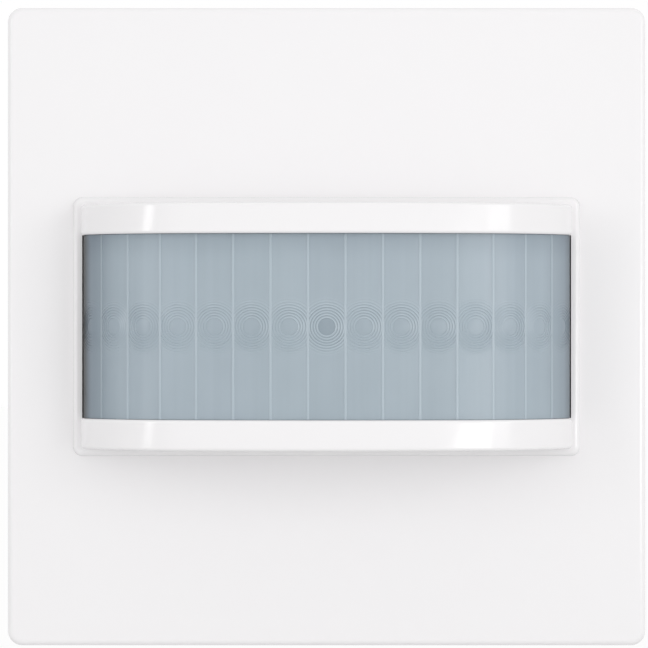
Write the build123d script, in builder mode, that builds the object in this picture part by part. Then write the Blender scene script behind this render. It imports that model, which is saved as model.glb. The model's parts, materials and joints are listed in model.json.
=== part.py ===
from build123d import *
import os
from math import asin, cos, degrees, radians, sin

# Motion sensor light switch. A sensor head with a bowed lens plugs onto a relay insert, which a
# support ring holds in a round wall box.
# Millimetres. X runs to the right, Z up and the room is towards -Y. The origin is the middle of
# the wall face. A height is a distance from the wall towards the room: height h lies at y = -h.

overrun = 1.0
touch_gap = 0.05

# Cover plate
plate_size = 63.0
plate_corner_r = 1.4
plate_rim_r = 0.6
plate_front_h = 11.0
plate_thickness = 1.8
skirt_thickness = 1.5
skirt_back_h = 3.6
skirt_rib_thickness = 0.9
skirt_rib_offset = 16.0
skirt_rib_gap = 0.4

# Plinth that the hood stands on
plinth_margin_x = 0.9
plinth_margin_z = 0.8
plinth_height = 0.6
plinth_corner_r = 0.9
plinth_edge_r = 0.5

# Hood: a bar above and below the window, bowed as seen from above
hood_rise = 11.5
hood_side_margin = 7.4
hood_half_height = 11.96
hood_front_r = 95.0
hood_shoulder_start_deg = 8.0
hood_shoulder_end_deg = 66.6
hood_wall = 1.0
hood_side_wall = 1.55
hood_end_r = 0.8
hood_edge_r = 0.3
window_half_height = 9.0

# Lens: facets side by side, with a flange behind the bars
lens_recess = 0.9
lens_end_gap = 0.2
lens_wall = 1.0
lens_window_gap = 0.1
lens_flange_gap = 0.05
lens_flange_overlap = 1.2
lens_flange_margin = 3.6
lens_facet_count = 15
lens_seam_width = 0.28

# Lens retainer behind the plate
retainer_gap = 0.1
retainer_pin_gap = 1.88
retainer_corner_r = 1.5
retainer_side = 4.0
retainer_lap = 0.3

# Sensor board and what stands on it
board_thickness = 1.2
board_gap = 1.1
board_front_h = 8.1
can_offset_share = 0.382
can_seat_h = 12.2
can_tilt_deg = 40.0
can_flange_r = 4.6
can_flange_thickness = 0.6
can_cap_r = 4.1
can_cap_height = 3.6
can_cap_edge_r = 0.5
can_window_width = 5.2
can_window_height = 4.2
can_window_thickness = 0.5
can_lead_r = 0.22
can_lead_circle_r = 2.54
can_lead_straight = 1.6
can_lead_bend_r = 0.9
can_lead_tail = 0.5
shroud_wall = 0.6
shroud_ledge = 0.4
shroud_collar_above = 2.6
shroud_collar_below = 5.0
shroud_side_reach = 7.8
shroud_base_height = 17.0
shroud_base_thickness = 1.2
capacitor_r = 2.0
capacitor_height = 5.4
capacitor_edge_r = 0.3
capacitor_base = 4.3
capacitor_base_thickness = 0.8
front_part_offset = 4.9
light_sensor_width = 3.2
light_sensor_height = 2.6
light_sensor_depth = 1.4
light_sensor_dome_r = 0.95
led_r = 1.45
led_flange_r = 1.65
led_flange_thickness = 0.8
led_height = 4.6
chip_width = 6.2
chip_height = 5.2
chip_depth = 1.4
chip_standoff = 0.12
chip_lead_pitch = 1.27
chip_lead_width = 0.42
chip_lead_thickness = 0.2
chip_lead_reach = 1.0
chip_leads_per_side = 4
chip_place = (0.0, -9.0)
small_chip_width = 1.6
small_chip_height = 0.8
small_chip_depth = 0.6
small_chip_pitch = 2.6
small_chip_columns = 6
small_chip_rows = 2
small_chip_place = (0.0, -15.5)

# Rear cover of the head
cover_side_gap = 3.0
cover_height = 48.0
cover_corner_r = 3.0
cover_wall = 1.4
cover_floor = 1.2
cover_back_h = 3.0
cover_post_r = 1.6
cover_post_inset = 10.5
cover_post_gap = 0.1
head_screw_inset_x = 3.8
head_screw_inset_z = 3.6
head_boss_r = 2.0
head_boss_back_h = 5.0
head_screw_r = 0.83
head_screw_head_r = 1.8
head_screw_head_height = 1.1
head_screw_recess = 1.4
head_screw_tip_gap = 0.4
head_pilot_gap = 0.05
head_screw_clearance = 0.3
drive_slot_width = 0.5
drive_slot_depth = 0.5
cross_length_share = 0.65
screw_round_share = 0.25

# Adjusters for switching time and dusk level, set from behind
trimmer_inset = 10.5
trimmer_size = 6.6
trimmer_depth = 2.4
trimmer_rotor_r = 1.65
trimmer_gap = 0.12
trimmer_rotor_height = 2.9
trimmer_rotor_back_h = 3.1
trimmer_slot_width = 0.6
trimmer_slot_depth = 0.9
trimmer_hole_r = 2.0
trimmer_dial_margin = 1.7
trimmer_dial_depth = 0.3

# Plug of the head and socket of the insert
plug_z = 15.0
plug_height = 5.4
plug_back_h = 2.7
pin_count = 6
pin_pitch = 2.54
pin_size = 0.64
pin_back_h = -5.0
pin_front_tail = 0.8
peg_r = 1.1
peg_x = 10.4
peg_reach = 4.0
socket_margin = 1.6
socket_front_h = 2.4
socket_back_h = -7.0
socket_flange = 1.0
socket_flange_thickness = 1.2
socket_gap = 0.12
pin_hole = 1.0
contact_chamber_width = 1.3
contact_chamber_height = 2.9
contact_chamber_front_h = 0.6
contact_front_h = -0.4
contact_thickness = 0.5
contact_height = 2.3
contact_fork_back_h = -6.0

# Leaf springs that hold the head in the ring
spring_width = 9.0
spring_thickness = 0.5
spring_clearance = 0.02
spring_front_h = 8.4
spring_bulge = 1.4
spring_bulge_h = -1.6
spring_tip_h = -4.2
spring_knee_h = 1.9
spring_bend_r = 0.7
spring_notch_gap = 0.48

# Support ring
ring_screw_margin = 1.0
ring_corner_r = 4.0
ring_thickness = 1.0
ring_opening_width = 41.0
ring_opening_height = 44.0
ring_opening_chamfer = 7.3
ring_notch_width = 11.0
ring_seat_depth = 0.3
ring_seat_gap = 0.3
box_screw_spacing = 60.0
box_screw_r = 1.65
ring_ear_r = 2.2
ring_bead_width = 1.6
ring_bead_height = 0.35
ring_bead_edge_r = 0.3
ring_bead_gap = 3.0
ring_bead_length = 9.5
ring_slot_length = 8.0
ring_slot_width = 2.4
ring_slot_offset = 27.2

# Insert housing
housing_width = 43.0
housing_height = 46.0
housing_r = 28.0
housing_depth = 30.0
housing_wall = 1.6
housing_edge_r = 1.2
housing_boss_r = 2.0
housing_groove_width = 1.6
housing_groove_depth = 0.5
housing_groove_pitch = 4.4
housing_groove_count = 5
housing_groove_front_h = -6.0
housing_panel_width = 26.0
housing_panel_height = 13.0
housing_panel_depth = 0.3
housing_panel_z = 8.0
housing_panel_corner_r = 1.0
lid_screw_x = 18.7
lid_screw_z = 18.6
lid_screw_r = 0.92
lid_screw_length = 7.5
lid_screw_head_r = 1.75
lid_screw_head_height = 0.85
lid_screw_recess = 1.0
lid_screw_gap = 0.15
lid_pilot_gap = 0.05

# Insert lid
lid_thickness = 1.4
lid_margin = 0.4
lid_spigot_gap = 0.25
lid_collar_wall = 0.9
lid_collar_back_h = -2.4
lid_driver_hole_r = 1.7

# Terminals: a cage that a captive screw pulls up under a fixed bar
terminal_pitch = 8.7
terminal_count = 4
terminal_z = -17.7
terminal_turns = 3
terminal_thread_pitch = 0.6
terminal_head_front_h = -2.6
terminal_head_r = 2.1
terminal_head_height = 1.4
terminal_screw_r = 1.25
terminal_screw_tip_h = -8.0
terminal_thread_gap = 0.06
terminal_bar_thickness = 1.0
terminal_bar_width = 4.4
terminal_bar_front_z = -20.4
terminal_bar_leg_z = -11.9
cage_width = 6.6
cage_depth = 5.8
cage_wall = 0.8
cage_top = 1.4
cage_floor = 1.2
cage_top_gap = 0.25
cage_wire_room = 4.4
cage_rib_gap = 0.3
terminal_rib_back_h = -16.2
terminal_rib_front_h = -2.6
wire_window_width = 5.2
wire_window_height = 4.7
wire_window_funnel = 0.6
cross_wall_thickness = 1.2
cross_wall_gap = 0.4

# Claws that spread against the wall box
claw_pivot_x = 23.1
claw_pivot_h = -4.0
claw_pin_r = 0.8
claw_pin_gap = 0.05
claw_knuckle_r = 1.35
claw_width = 8.0
claw_thickness = 1.2
claw_slot_width = 3.7
claw_bridge = 1.0
claw_reach_x = 29.3
claw_arm_tip_h = -15.0
claw_tooth_reach = 3.4
claw_tooth_height = 1.3
claw_screw_x = 25.7
claw_screw_r = 1.5
claw_screw_head_r = 2.2
claw_screw_head_height = 1.7
claw_screw_tip_h = -13.5
claw_screw_gap = 0.2
claw_lug_thickness = 1.3
claw_lug_gap = 0.2
claw_lug_reach = 1.5
claw_lug_half_height = 1.5

# Power board
power_board_thickness = 1.5
power_board_front_h = -24.5
power_board_gap = 0.5
power_board_post_r = 1.6
power_board_post_x = 15.0
power_board_post_z = 14.0

# Relay
relay_x = -9.0
relay_z = -2.7
relay_width = 19.0
relay_depth = 15.2
relay_wall = 0.8
relay_height = 16.3
relay_cover_gap = 0.15
relay_base_thickness = 2.0
relay_iron = 1.2
relay_iron_width = 9.0
relay_yoke_end = 3.4
relay_coil_x = 0.6
relay_bobbin_size = 9.4
relay_bobbin_flange = 0.8
relay_bobbin_height = 8.8
relay_bobbin_tube_r = 2.7
relay_winding_r = 4.4
relay_core_r = 2.0
relay_pole_r = 3.2
relay_pole_thickness = 0.5
relay_hinge_x = -7.3
relay_hinge_gap = 0.06
relay_open_deg = 4.0
relay_armature_length = 13.2
relay_armature_tail = 0.5
relay_armature_nose_share = 0.25
relay_blade_thickness = 0.3
relay_blade_width = 4.0
relay_blade_start = 2.4
relay_blade_length = 13.2
relay_contact_r = 1.2
relay_contact_height = 1.0
relay_contact_x = 14.6
relay_rivet_r = 0.7
relay_rivet_height = 0.3

# Other parts on the power board
film_width = 18.0
film_depth = 6.8
film_height = 13.5
film_place = (-4.5, 9.4)
film_edge_r = 0.8
supply_r = 4.0
supply_height = 12.5
supply_place = (6.6, -4.6)
supply_edge_r = 0.6
varistor_r = 4.5
varistor_thickness = 3.4
varistor_round_share = 0.3
varistor_lead_length = 2.0
varistor_place = (14.6, -3.0)
fuse_r = 2.0
fuse_length = 10.0
fuse_cap_length = 2.2
fuse_cap_extra = 0.2
fuse_place = (12.4, 9.4)
fuse_lift = 0.8
lead_r = 0.35

# Worked out from the sizes above
plate_back_h = plate_front_h - plate_thickness
inner_size = plate_size - 2 * skirt_thickness
crown_h = plate_front_h + hood_rise
hood_half_width = plate_size / 2 - hood_side_margin
shoulder_start = radians(hood_shoulder_start_deg)
shoulder_end = radians(hood_shoulder_end_deg)
shoulder_r = (hood_half_width - hood_front_r * sin(shoulder_start)) / (
    sin(shoulder_end) - sin(shoulder_start)
)
lens_flange_reach = hood_half_width - lens_flange_margin
cover_width = inner_size - 2 * cover_side_gap
cover_floor_h = cover_back_h + cover_floor
cover_post_x = cover_width / 2 - cover_post_inset
cover_post_z = plug_z + plug_height / 2 + cover_post_r + cover_post_gap
head_screw_x = cover_width / 2 - head_screw_inset_x
head_screw_z = cover_height / 2 - head_screw_inset_z
retainer_width = cover_width - 2 * (cover_wall + retainer_gap)
retainer_height = 2 * (plug_z - pin_size / 2 - retainer_pin_gap)
retainer_opening_width = retainer_width - 2 * retainer_side
retainer_opening_height = 2 * (window_half_height - retainer_lap)
board_width = cover_width - 2 * (cover_wall + board_gap)
board_height = cover_height - 2 * (cover_wall + board_gap)
board_back_h = board_front_h - board_thickness
can_offset = can_offset_share * hood_half_width
shroud_base_width = 2 * (can_offset + shroud_side_reach)
trimmer_x = cover_width / 2 - trimmer_inset
trimmer_z = trimmer_inset - cover_height / 2
spring_reach = spring_clearance + spring_thickness + spring_bulge
ring_size = box_screw_spacing + 2 * ring_screw_margin
ring_notch_half_height = cover_height / 2 + spring_reach + spring_notch_gap
housing_front_h = ring_seat_depth
housing_back_h = -housing_depth
housing_floor_h = housing_back_h + housing_wall
lid_front_h = ring_thickness + lid_thickness
cage_travel = terminal_turns * terminal_thread_pitch
terminal_head_back_h = terminal_head_front_h - terminal_head_height
terminal_bar_front_h = terminal_screw_tip_h - touch_gap
terminal_bar_back_h = terminal_bar_front_h - terminal_bar_thickness
cage_front_h = terminal_head_back_h - cage_top_gap - cage_travel
cage_floor_h = terminal_bar_back_h - cage_wire_room
cage_back_h = cage_floor_h - cage_floor
power_board_back_h = power_board_front_h - power_board_thickness


def wall_plane(h):
    """Plane parallel to the wall at height h, with local x to the right and local y up."""
    return Plane(origin=(0, -h, 0), x_dir=(1, 0, 0), z_dir=(0, -1, 0))


def slab(width, height, back_h, front_h, places=((0, 0),), corner_r=0, mode=Mode.ADD):
    """Blocks between two heights, each centred on a place (x, z)."""
    with BuildSketch(wall_plane(back_h)) as face:
        with Locations(*places):
            if corner_r:
                RectangleRounded(width, height, corner_r)
            else:
                Rectangle(width, height)
    extrude(face.sketch, amount=front_h - back_h, mode=mode)


def post(radius, back_h, front_h, places=((0, 0),), mode=Mode.ADD):
    """Round posts or holes between two heights, each centred on a place (x, z)."""
    with BuildSketch(wall_plane(back_h)) as face:
        with Locations(*places):
            Circle(radius)
    extrude(face.sketch, amount=front_h - back_h, mode=mode)


def cross_recess(length, width, back_h, front_h, places):
    """Cross-shaped recess for a driver, in each screw head."""
    slab(length, width, back_h, front_h, places, mode=Mode.SUBTRACT)
    slab(width, length, back_h, front_h, places, mode=Mode.SUBTRACT)


def front_edges(piece):
    """Edges of the face nearest to the room."""
    return piece.faces().sort_by(Axis.Y)[0].edges()


def back_edges(piece):
    """Edges of the face nearest to the wall box."""
    return piece.faces().sort_by(Axis.Y)[-1].edges()


def corners(x, z):
    """The four places at plus and minus x and z."""
    return [(side * x, up * z) for side in (-1, 1) for up in (-1, 1)]


def bow(half_width, crown, inset, base_h, floor_z):
    """Face seen from above: a flat bow in front, a tighter shoulder at each end, straight ends."""
    front_r = hood_front_r - inset
    end_r = shoulder_r - inset
    half = half_width - inset
    shoulder_x = (hood_front_r - shoulder_r) * sin(shoulder_start)
    shoulder_h = crown - hood_front_r + (hood_front_r - shoulder_r) * cos(shoulder_start)
    end = asin((half - shoulder_x) / end_r)

    def on_shoulder(angle, side):
        return (side * (shoulder_x + end_r * sin(angle)), -(shoulder_h + end_r * cos(angle)))

    with BuildSketch(Plane.XY.offset(floor_z)) as face:
        with BuildLine():
            left, right = on_shoulder(shoulder_start, -1), on_shoulder(shoulder_start, 1)
            ThreePointArc(left, (0, -(crown - inset)), right)
            for side in (-1, 1):
                start, stop = on_shoulder(shoulder_start, side), on_shoulder(end, side)
                ThreePointArc(start, on_shoulder((shoulder_start + end) / 2, side), stop)
                Line(stop, (side * half, -base_h))
            Line((-half, -base_h), (half, -base_h))
        make_face()
    return face.sketch


def bow_solid(half_width, crown, inset, base_h, low_z, high_z, mode=Mode.ADD):
    """The bowed face made solid between two levels."""
    extrude(bow(half_width, crown, inset, base_h, low_z), amount=high_z - low_z, mode=mode)


def insert_section(inset):
    """Outline of the insert, a rectangle trimmed by the wall box's circle, moved inwards."""
    with BuildSketch(wall_plane(0)) as section:
        Circle(housing_r - inset)
        Rectangle(housing_width - 2 * inset, housing_height - 2 * inset, mode=Mode.INTERSECT)
    return section.sketch


def insert_block(inset, back_h, front_h, mode=Mode.ADD):
    """The insert's outline made solid between two heights."""
    face = insert_section(inset).moved(Location((0, -back_h, 0)))
    extrude(face, amount=front_h - back_h, mode=mode)


def save(piece, name):
    """Label a finished piece and write it as its own file."""
    piece.part.label = name
    export_step(piece.part, f"parts/{name}.step")


os.makedirs("parts", exist_ok=True)

# Cover plate with its hood. Each bar of the hood is rounded along its outer and window edges.
with BuildPart() as hood_bar:
    bar_base_h = plate_back_h + plate_thickness / 2
    bow_solid(hood_half_width, crown_h, 0, bar_base_h, window_half_height, hood_half_height)
    upright = hood_bar.edges().filter_by(Axis.Z).group_by(Axis.Y)
    fillet(upright[-2], radius=hood_end_r)
    outer = hood_bar.faces().filter_by(Axis.Z).edges()
    base_line = outer.filter_by(Axis.X).group_by(Axis.Y)[-1]
    fillet(ShapeList(e for e in outer if e not in base_line), radius=hood_edge_r)

with BuildPart() as cover_plate:
    slab(plate_size, plate_size, skirt_back_h, plate_front_h, corner_r=plate_corner_r)
    fillet(front_edges(cover_plate), radius=plate_rim_r)
    slab(
        inner_size, inner_size, skirt_back_h, plate_back_h,
        corner_r=plate_corner_r, mode=Mode.SUBTRACT,
    )
    plinth_width = 2 * (hood_half_width + plinth_margin_x)
    plinth_depth = 2 * (hood_half_height + plinth_margin_z)
    slab(
        plinth_width, plinth_depth, plate_back_h, plate_front_h + plinth_height,
        corner_r=plinth_corner_r,
    )
    fillet(front_edges(cover_plate), radius=plinth_edge_r)
    add(hood_bar.part)
    mirror(hood_bar.part, about=Plane.XY)
    cavity_half = hood_half_height - hood_side_wall
    cavity_back_h = plate_back_h - overrun
    bow_solid(
        hood_half_width, crown_h, hood_wall, cavity_back_h, -cavity_half, cavity_half,
        mode=Mode.SUBTRACT,
    )
    slab(
        2 * hood_half_width, 2 * window_half_height, cavity_back_h, crown_h + overrun,
        mode=Mode.SUBTRACT,
    )
    post(
        head_boss_r, head_boss_back_h, plate_back_h + touch_gap, corners(head_screw_x, head_screw_z),
    )
    post(
        head_screw_r + head_pilot_gap, head_boss_back_h, plate_back_h,
        corners(head_screw_x, head_screw_z), mode=Mode.SUBTRACT,
    )
    rib_reach = (inner_size - max(cover_width, cover_height)) / 2 - skirt_rib_gap
    rib_x = (inner_size - rib_reach) / 2
    slab(
        rib_reach, skirt_rib_thickness, skirt_back_h + plate_rim_r, plate_back_h,
        corners(rib_x, skirt_rib_offset),
    )
    slab(
        skirt_rib_thickness, rib_reach, skirt_back_h + plate_rim_r, plate_back_h,
        corners(skirt_rib_offset, rib_x),
    )
save(cover_plate, "cover_plate")

# Lens. Its window band stands between the bars, and its flange lies behind them.
lens_half_width = hood_half_width - lens_end_gap
lens_crown_h = crown_h - lens_recess
lens_base_h = plate_back_h
lens_band_half = window_half_height - lens_window_gap
lens_flange_half = window_half_height + lens_flange_overlap

with BuildPart() as lens_flange:
    bow_solid(
        hood_half_width, crown_h, hood_wall + lens_flange_gap, lens_base_h,
        -lens_flange_half, lens_flange_half,
    )
    slab(2 * lens_flange_reach, 2 * lens_flange_half, lens_base_h, crown_h, mode=Mode.INTERSECT)


def lens_seams():
    """Place and turn of each seam between facets, as seen from above, on the lens's inner face."""
    band_end = asin(
        (lens_half_width - (hood_front_r - shoulder_r) * sin(shoulder_start)) / shoulder_r
    )
    flat_length = hood_front_r * shoulder_start
    facet_width = 2 * (flat_length + shoulder_r * (band_end - shoulder_start)) / lens_facet_count
    seams = []
    for k in range(lens_facet_count // 2):
        along = (k + 1 / 2) * facet_width
        if along < flat_length:
            angle, radius, centre_x = along / hood_front_r, hood_front_r, 0
        else:
            angle = shoulder_start + (along - flat_length) / shoulder_r
            radius, centre_x = shoulder_r, (hood_front_r - shoulder_r) * sin(shoulder_start)
        lift = 0 if radius == hood_front_r else (hood_front_r - shoulder_r) * cos(shoulder_start)
        centre_h = lens_crown_h - hood_front_r + lift
        x = centre_x + (radius - lens_wall) * sin(angle)
        h = centre_h + (radius - lens_wall) * cos(angle)
        seams += [(x, h, angle), (-x, h, -angle)]
    return seams


with BuildPart() as lens:
    bow_solid(lens_half_width, lens_crown_h, 0, lens_base_h, -lens_band_half, lens_band_half)
    add(lens_flange.part)
    lens_cut_half = lens_flange_half + overrun
    bow_solid(
        lens_half_width, lens_crown_h, lens_wall, lens_base_h - overrun,
        -lens_cut_half, lens_cut_half, mode=Mode.SUBTRACT,
    )
    for seam_x, seam_h, seam_angle in lens_seams():
        with BuildSketch(Plane.XY.offset(-lens_band_half)) as seam:
            with Locations((seam_x, -seam_h)):
                Rectangle(lens_seam_width, lens_seam_width, rotation=45 + degrees(seam_angle))
        extrude(seam.sketch, amount=2 * lens_band_half, mode=Mode.SUBTRACT)
save(lens, "lens")

# Retainer behind the plate, with a fin above and below that clamps the lens flange
with BuildPart() as retainer_fin:
    fin_low = retainer_opening_height / 2
    fin_high = lens_flange_half - touch_gap
    bow_solid(
        lens_half_width, lens_crown_h, lens_wall + touch_gap, board_front_h, fin_low, fin_high,
    )
    slab(
        2 * lens_flange_reach, retainer_height, board_front_h, crown_h, mode=Mode.INTERSECT,
    )

with BuildPart() as lens_retainer:
    slab(
        retainer_width, retainer_height, board_front_h, plate_back_h, corner_r=retainer_corner_r,
    )
    slab(
        retainer_opening_width, retainer_opening_height, board_front_h, plate_back_h,
        mode=Mode.SUBTRACT,
    )
    add(retainer_fin.part)
    mirror(retainer_fin.part, about=Plane.XY)
save(lens_retainer, "lens_retainer")

# Two infrared detectors in metal cans, tilted to the left and the right
can_tilt = radians(can_tilt_deg)
can_plane = Plane(
    origin=(can_offset, -can_seat_h, 0), x_dir=(0, 0, 1), z_dir=(sin(can_tilt), -cos(can_tilt), 0)
)
can_top = can_flange_thickness + can_cap_height
can_leads = [(can_lead_circle_r, 0), (0, can_lead_circle_r), (-can_lead_circle_r, 0)]

with BuildPart() as pir_can_right:
    with BuildSketch(can_plane):
        Circle(can_flange_r)
    extrude(amount=can_flange_thickness)
    with BuildSketch(can_plane.offset(can_flange_thickness)):
        Circle(can_cap_r)
    extrude(amount=can_cap_height)
    cap_front = pir_can_right.faces().sort_by(Axis(can_plane.origin, can_plane.z_dir))[-1]
    fillet(cap_front.edges(), radius=can_cap_edge_r)
    with BuildSketch(can_plane.offset(can_top - can_window_thickness)):
        Rectangle(can_window_height, can_window_width)
    extrude(amount=can_window_thickness + overrun, mode=Mode.SUBTRACT)
    for lead_x, lead_y in can_leads:
        root = can_plane.from_local_coords((lead_x, lead_y, 0))
        knee = can_plane.from_local_coords((lead_x, lead_y, -can_lead_straight))
        foot = Vector(knee.X, -(board_back_h - can_lead_tail), knee.Z)
        with BuildLine() as lead_path:
            FilletPolyline(root, knee, foot, radius=can_lead_bend_r)
        with BuildSketch(Plane(origin=root, z_dir=knee - root)) as lead_face:
            Circle(can_lead_r)
        sweep(lead_face.sketch, path=lead_path.line)
save(pir_can_right, "pir_can_right")

with BuildPart() as pir_can_left:
    mirror(pir_can_right.part, about=Plane.YZ)
save(pir_can_left, "pir_can_left")

with BuildPart() as pir_window_right:
    with BuildSketch(can_plane.offset(can_top - can_window_thickness)):
        Rectangle(can_window_height, can_window_width)
    extrude(amount=can_window_thickness)
save(pir_window_right, "pir_window_right")

with BuildPart() as pir_window_left:
    mirror(pir_window_right.part, about=Plane.YZ)
save(pir_window_left, "pir_window_left")

# Shroud that holds both cans on the sensor board
shroud_r = can_flange_r + touch_gap + shroud_wall
with BuildPart() as shroud_collar:
    with BuildSketch(can_plane.offset(-shroud_collar_below)):
        Circle(shroud_r)
    extrude(amount=shroud_collar_below + shroud_collar_above)
with BuildPart() as detector_shroud:
    slab(
        shroud_base_width, shroud_base_height, board_front_h, board_front_h + shroud_base_thickness,
        corner_r=plate_corner_r,
    )
    add(shroud_collar.part)
    mirror(shroud_collar.part, about=Plane.YZ)
    slab(
        2 * shroud_base_width, 2 * shroud_base_height, board_front_h - shroud_collar_below,
        board_front_h, mode=Mode.SUBTRACT,
    )
    can_room_height = shroud_collar_above + overrun
    lead_room_depth = 2 * shroud_collar_below
    can_room = Solid.make_cylinder(can_flange_r + touch_gap, can_room_height, can_plane)
    lead_room = Solid.make_cylinder(
        can_flange_r - shroud_ledge, lead_room_depth + overrun, can_plane.offset(-lead_room_depth)
    )
    for room in (can_room, lead_room):
        add(room, mode=Mode.SUBTRACT)
        add(room.mirror(Plane.YZ), mode=Mode.SUBTRACT)
    middle_room = capacitor_base + 2 * touch_gap
    slab(
        middle_room, 2 * front_part_offset + middle_room, board_front_h,
        board_front_h + shroud_base_thickness, mode=Mode.SUBTRACT,
    )
save(detector_shroud, "detector_shroud")

# Sensor board with holes for whatever passes through it
pin_places = [((k - (pin_count - 1) / 2) * pin_pitch, plug_z) for k in range(pin_count)]
lead_places = []
for lead_x, lead_y in can_leads:
    knee = can_plane.from_local_coords((lead_x, lead_y, -can_lead_straight))
    lead_places += [(knee.X, knee.Z), (-knee.X, knee.Z)]

with BuildPart() as sensor_board:
    slab(board_width, board_height, board_back_h, board_front_h, corner_r=plate_corner_r)
    post(
        head_boss_r + head_screw_clearance, board_back_h, board_front_h,
        corners(head_screw_x, head_screw_z), mode=Mode.SUBTRACT,
    )
    corner_cut = board_width - 2 * head_screw_x
    slab(
        corner_cut + head_boss_r, corner_cut + head_boss_r, board_back_h, board_front_h,
        corners(board_width / 2, board_height / 2), mode=Mode.SUBTRACT,
    )
    post(can_lead_r + touch_gap, board_back_h, board_front_h, lead_places, mode=Mode.SUBTRACT)
    hole_size = pin_size + 2 * touch_gap
    slab(hole_size, hole_size, board_back_h, board_front_h, pin_places, mode=Mode.SUBTRACT)
save(sensor_board, "sensor_board")

# Parts on the front of the sensor board: storage capacitor, light sensor and test lamp
with BuildPart() as storage_capacitor:
    base_top_h = board_front_h + capacitor_base_thickness
    slab(capacitor_base, capacitor_base, board_front_h, base_top_h, [(0, front_part_offset)])
    post(capacitor_r, base_top_h, board_front_h + capacitor_height, [(0, front_part_offset)])
    fillet(front_edges(storage_capacitor), radius=capacitor_edge_r)
save(storage_capacitor, "storage_capacitor")

with BuildPart() as light_sensor:
    sensor_top_h = board_front_h + light_sensor_depth
    slab(
        light_sensor_width, light_sensor_height, board_front_h, sensor_top_h,
        [(0, -front_part_offset)],
    )
    with Locations((0, -sensor_top_h, -front_part_offset)):
        Sphere(light_sensor_dome_r)
save(light_sensor, "light_sensor")

with BuildPart() as status_led:
    post(led_flange_r, board_front_h, board_front_h + led_flange_thickness)
    post(led_r, board_front_h, board_front_h + led_height - led_r)
    with Locations((0, -(board_front_h + led_height - led_r), 0)):
        Sphere(led_r)
save(status_led, "status_led")

# Parts on the back of the sensor board
with BuildPart() as microcontroller:
    chip_front_h = board_back_h - chip_standoff
    slab(chip_width, chip_height, chip_front_h - chip_depth, chip_front_h, [chip_place])
    chip_x, chip_z = chip_place
    lead_h = chip_front_h - chip_depth / 2
    for k in range(chip_leads_per_side):
        x = chip_x + (k - (chip_leads_per_side - 1) / 2) * chip_lead_pitch
        for side in (-1, 1):
            inner_z = chip_z + side * chip_height / 2
            slab(
                chip_lead_width, chip_lead_reach, lead_h - chip_lead_thickness / 2,
                lead_h + chip_lead_thickness / 2, [(x, inner_z)],
            )
            outer_z = inner_z + side * (chip_lead_reach - chip_lead_thickness) / 2
            slab(
                chip_lead_width, chip_lead_thickness, lead_h - chip_lead_thickness / 2,
                board_back_h, [(x, outer_z)],
            )
            slab(
                chip_lead_width, chip_lead_reach, board_back_h - chip_lead_thickness,
                board_back_h, [(x, outer_z + side * chip_lead_reach / 2)],
            )
save(microcontroller, "microcontroller")

with BuildPart() as board_chips:
    chips_x, chips_z = small_chip_place
    for row in range(small_chip_rows):
        row_z = chips_z + (row - (small_chip_rows - 1) / 2) * small_chip_pitch
        slab(
            small_chip_width, small_chip_height, board_back_h - small_chip_depth, board_back_h,
            [
                (chips_x + (k - (small_chip_columns - 1) / 2) * small_chip_pitch, row_z)
                for k in range(small_chip_columns)
            ],
        )
save(board_chips, "board_chips")

# Rear cover of the head
plug_full_width = 2 * (peg_x + peg_r) + 2 * peg_r
with BuildPart() as head_back_cover:
    slab(cover_width, cover_height, cover_back_h, plate_back_h, corner_r=cover_corner_r)
    fillet(back_edges(head_back_cover), radius=plate_rim_r)
    slab(
        cover_width - 2 * cover_wall, cover_height - 2 * cover_wall, cover_floor_h, plate_back_h,
        corner_r=cover_corner_r - cover_wall, mode=Mode.SUBTRACT,
    )
    post(cover_post_r, cover_floor_h, board_back_h, corners(cover_post_x, cover_post_z))
    screw_places = corners(head_screw_x, head_screw_z)
    boss_front_h = head_boss_back_h - touch_gap
    post(head_screw_head_r + 2 * head_screw_clearance, cover_floor_h, boss_front_h, screw_places)
    post(
        head_screw_head_r + head_screw_clearance / 2, cover_back_h,
        cover_back_h + head_screw_recess, screw_places, mode=Mode.SUBTRACT,
    )
    post(
        head_screw_r + head_screw_clearance, cover_back_h, boss_front_h, screw_places,
        mode=Mode.SUBTRACT,
    )
    slab(
        plug_full_width + 2 * socket_gap, plug_height + 2 * socket_gap, cover_back_h,
        cover_floor_h, [(0, plug_z)], mode=Mode.SUBTRACT,
    )
    trimmer_places = [(-trimmer_x, trimmer_z), (trimmer_x, trimmer_z)]
    post(trimmer_hole_r, cover_back_h, cover_floor_h, trimmer_places, mode=Mode.SUBTRACT)
    post(
        trimmer_hole_r + trimmer_dial_margin, cover_back_h, cover_back_h + trimmer_dial_depth,
        trimmer_places, mode=Mode.SUBTRACT,
    )
save(head_back_cover, "head_back_cover")

with BuildPart() as head_screws:
    head_back_h = cover_back_h + head_screw_recess - head_screw_head_height
    post(head_screw_head_r, head_back_h, cover_back_h + head_screw_recess, screw_places)
    post(
        head_screw_r, cover_back_h + head_screw_recess, plate_back_h - head_screw_tip_gap,
        screw_places,
    )
    cross_recess(
        2 * head_screw_head_r * cross_length_share, drive_slot_width, head_back_h,
        head_back_h + drive_slot_depth, screw_places,
    )
save(head_screws, "head_screws")

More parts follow.
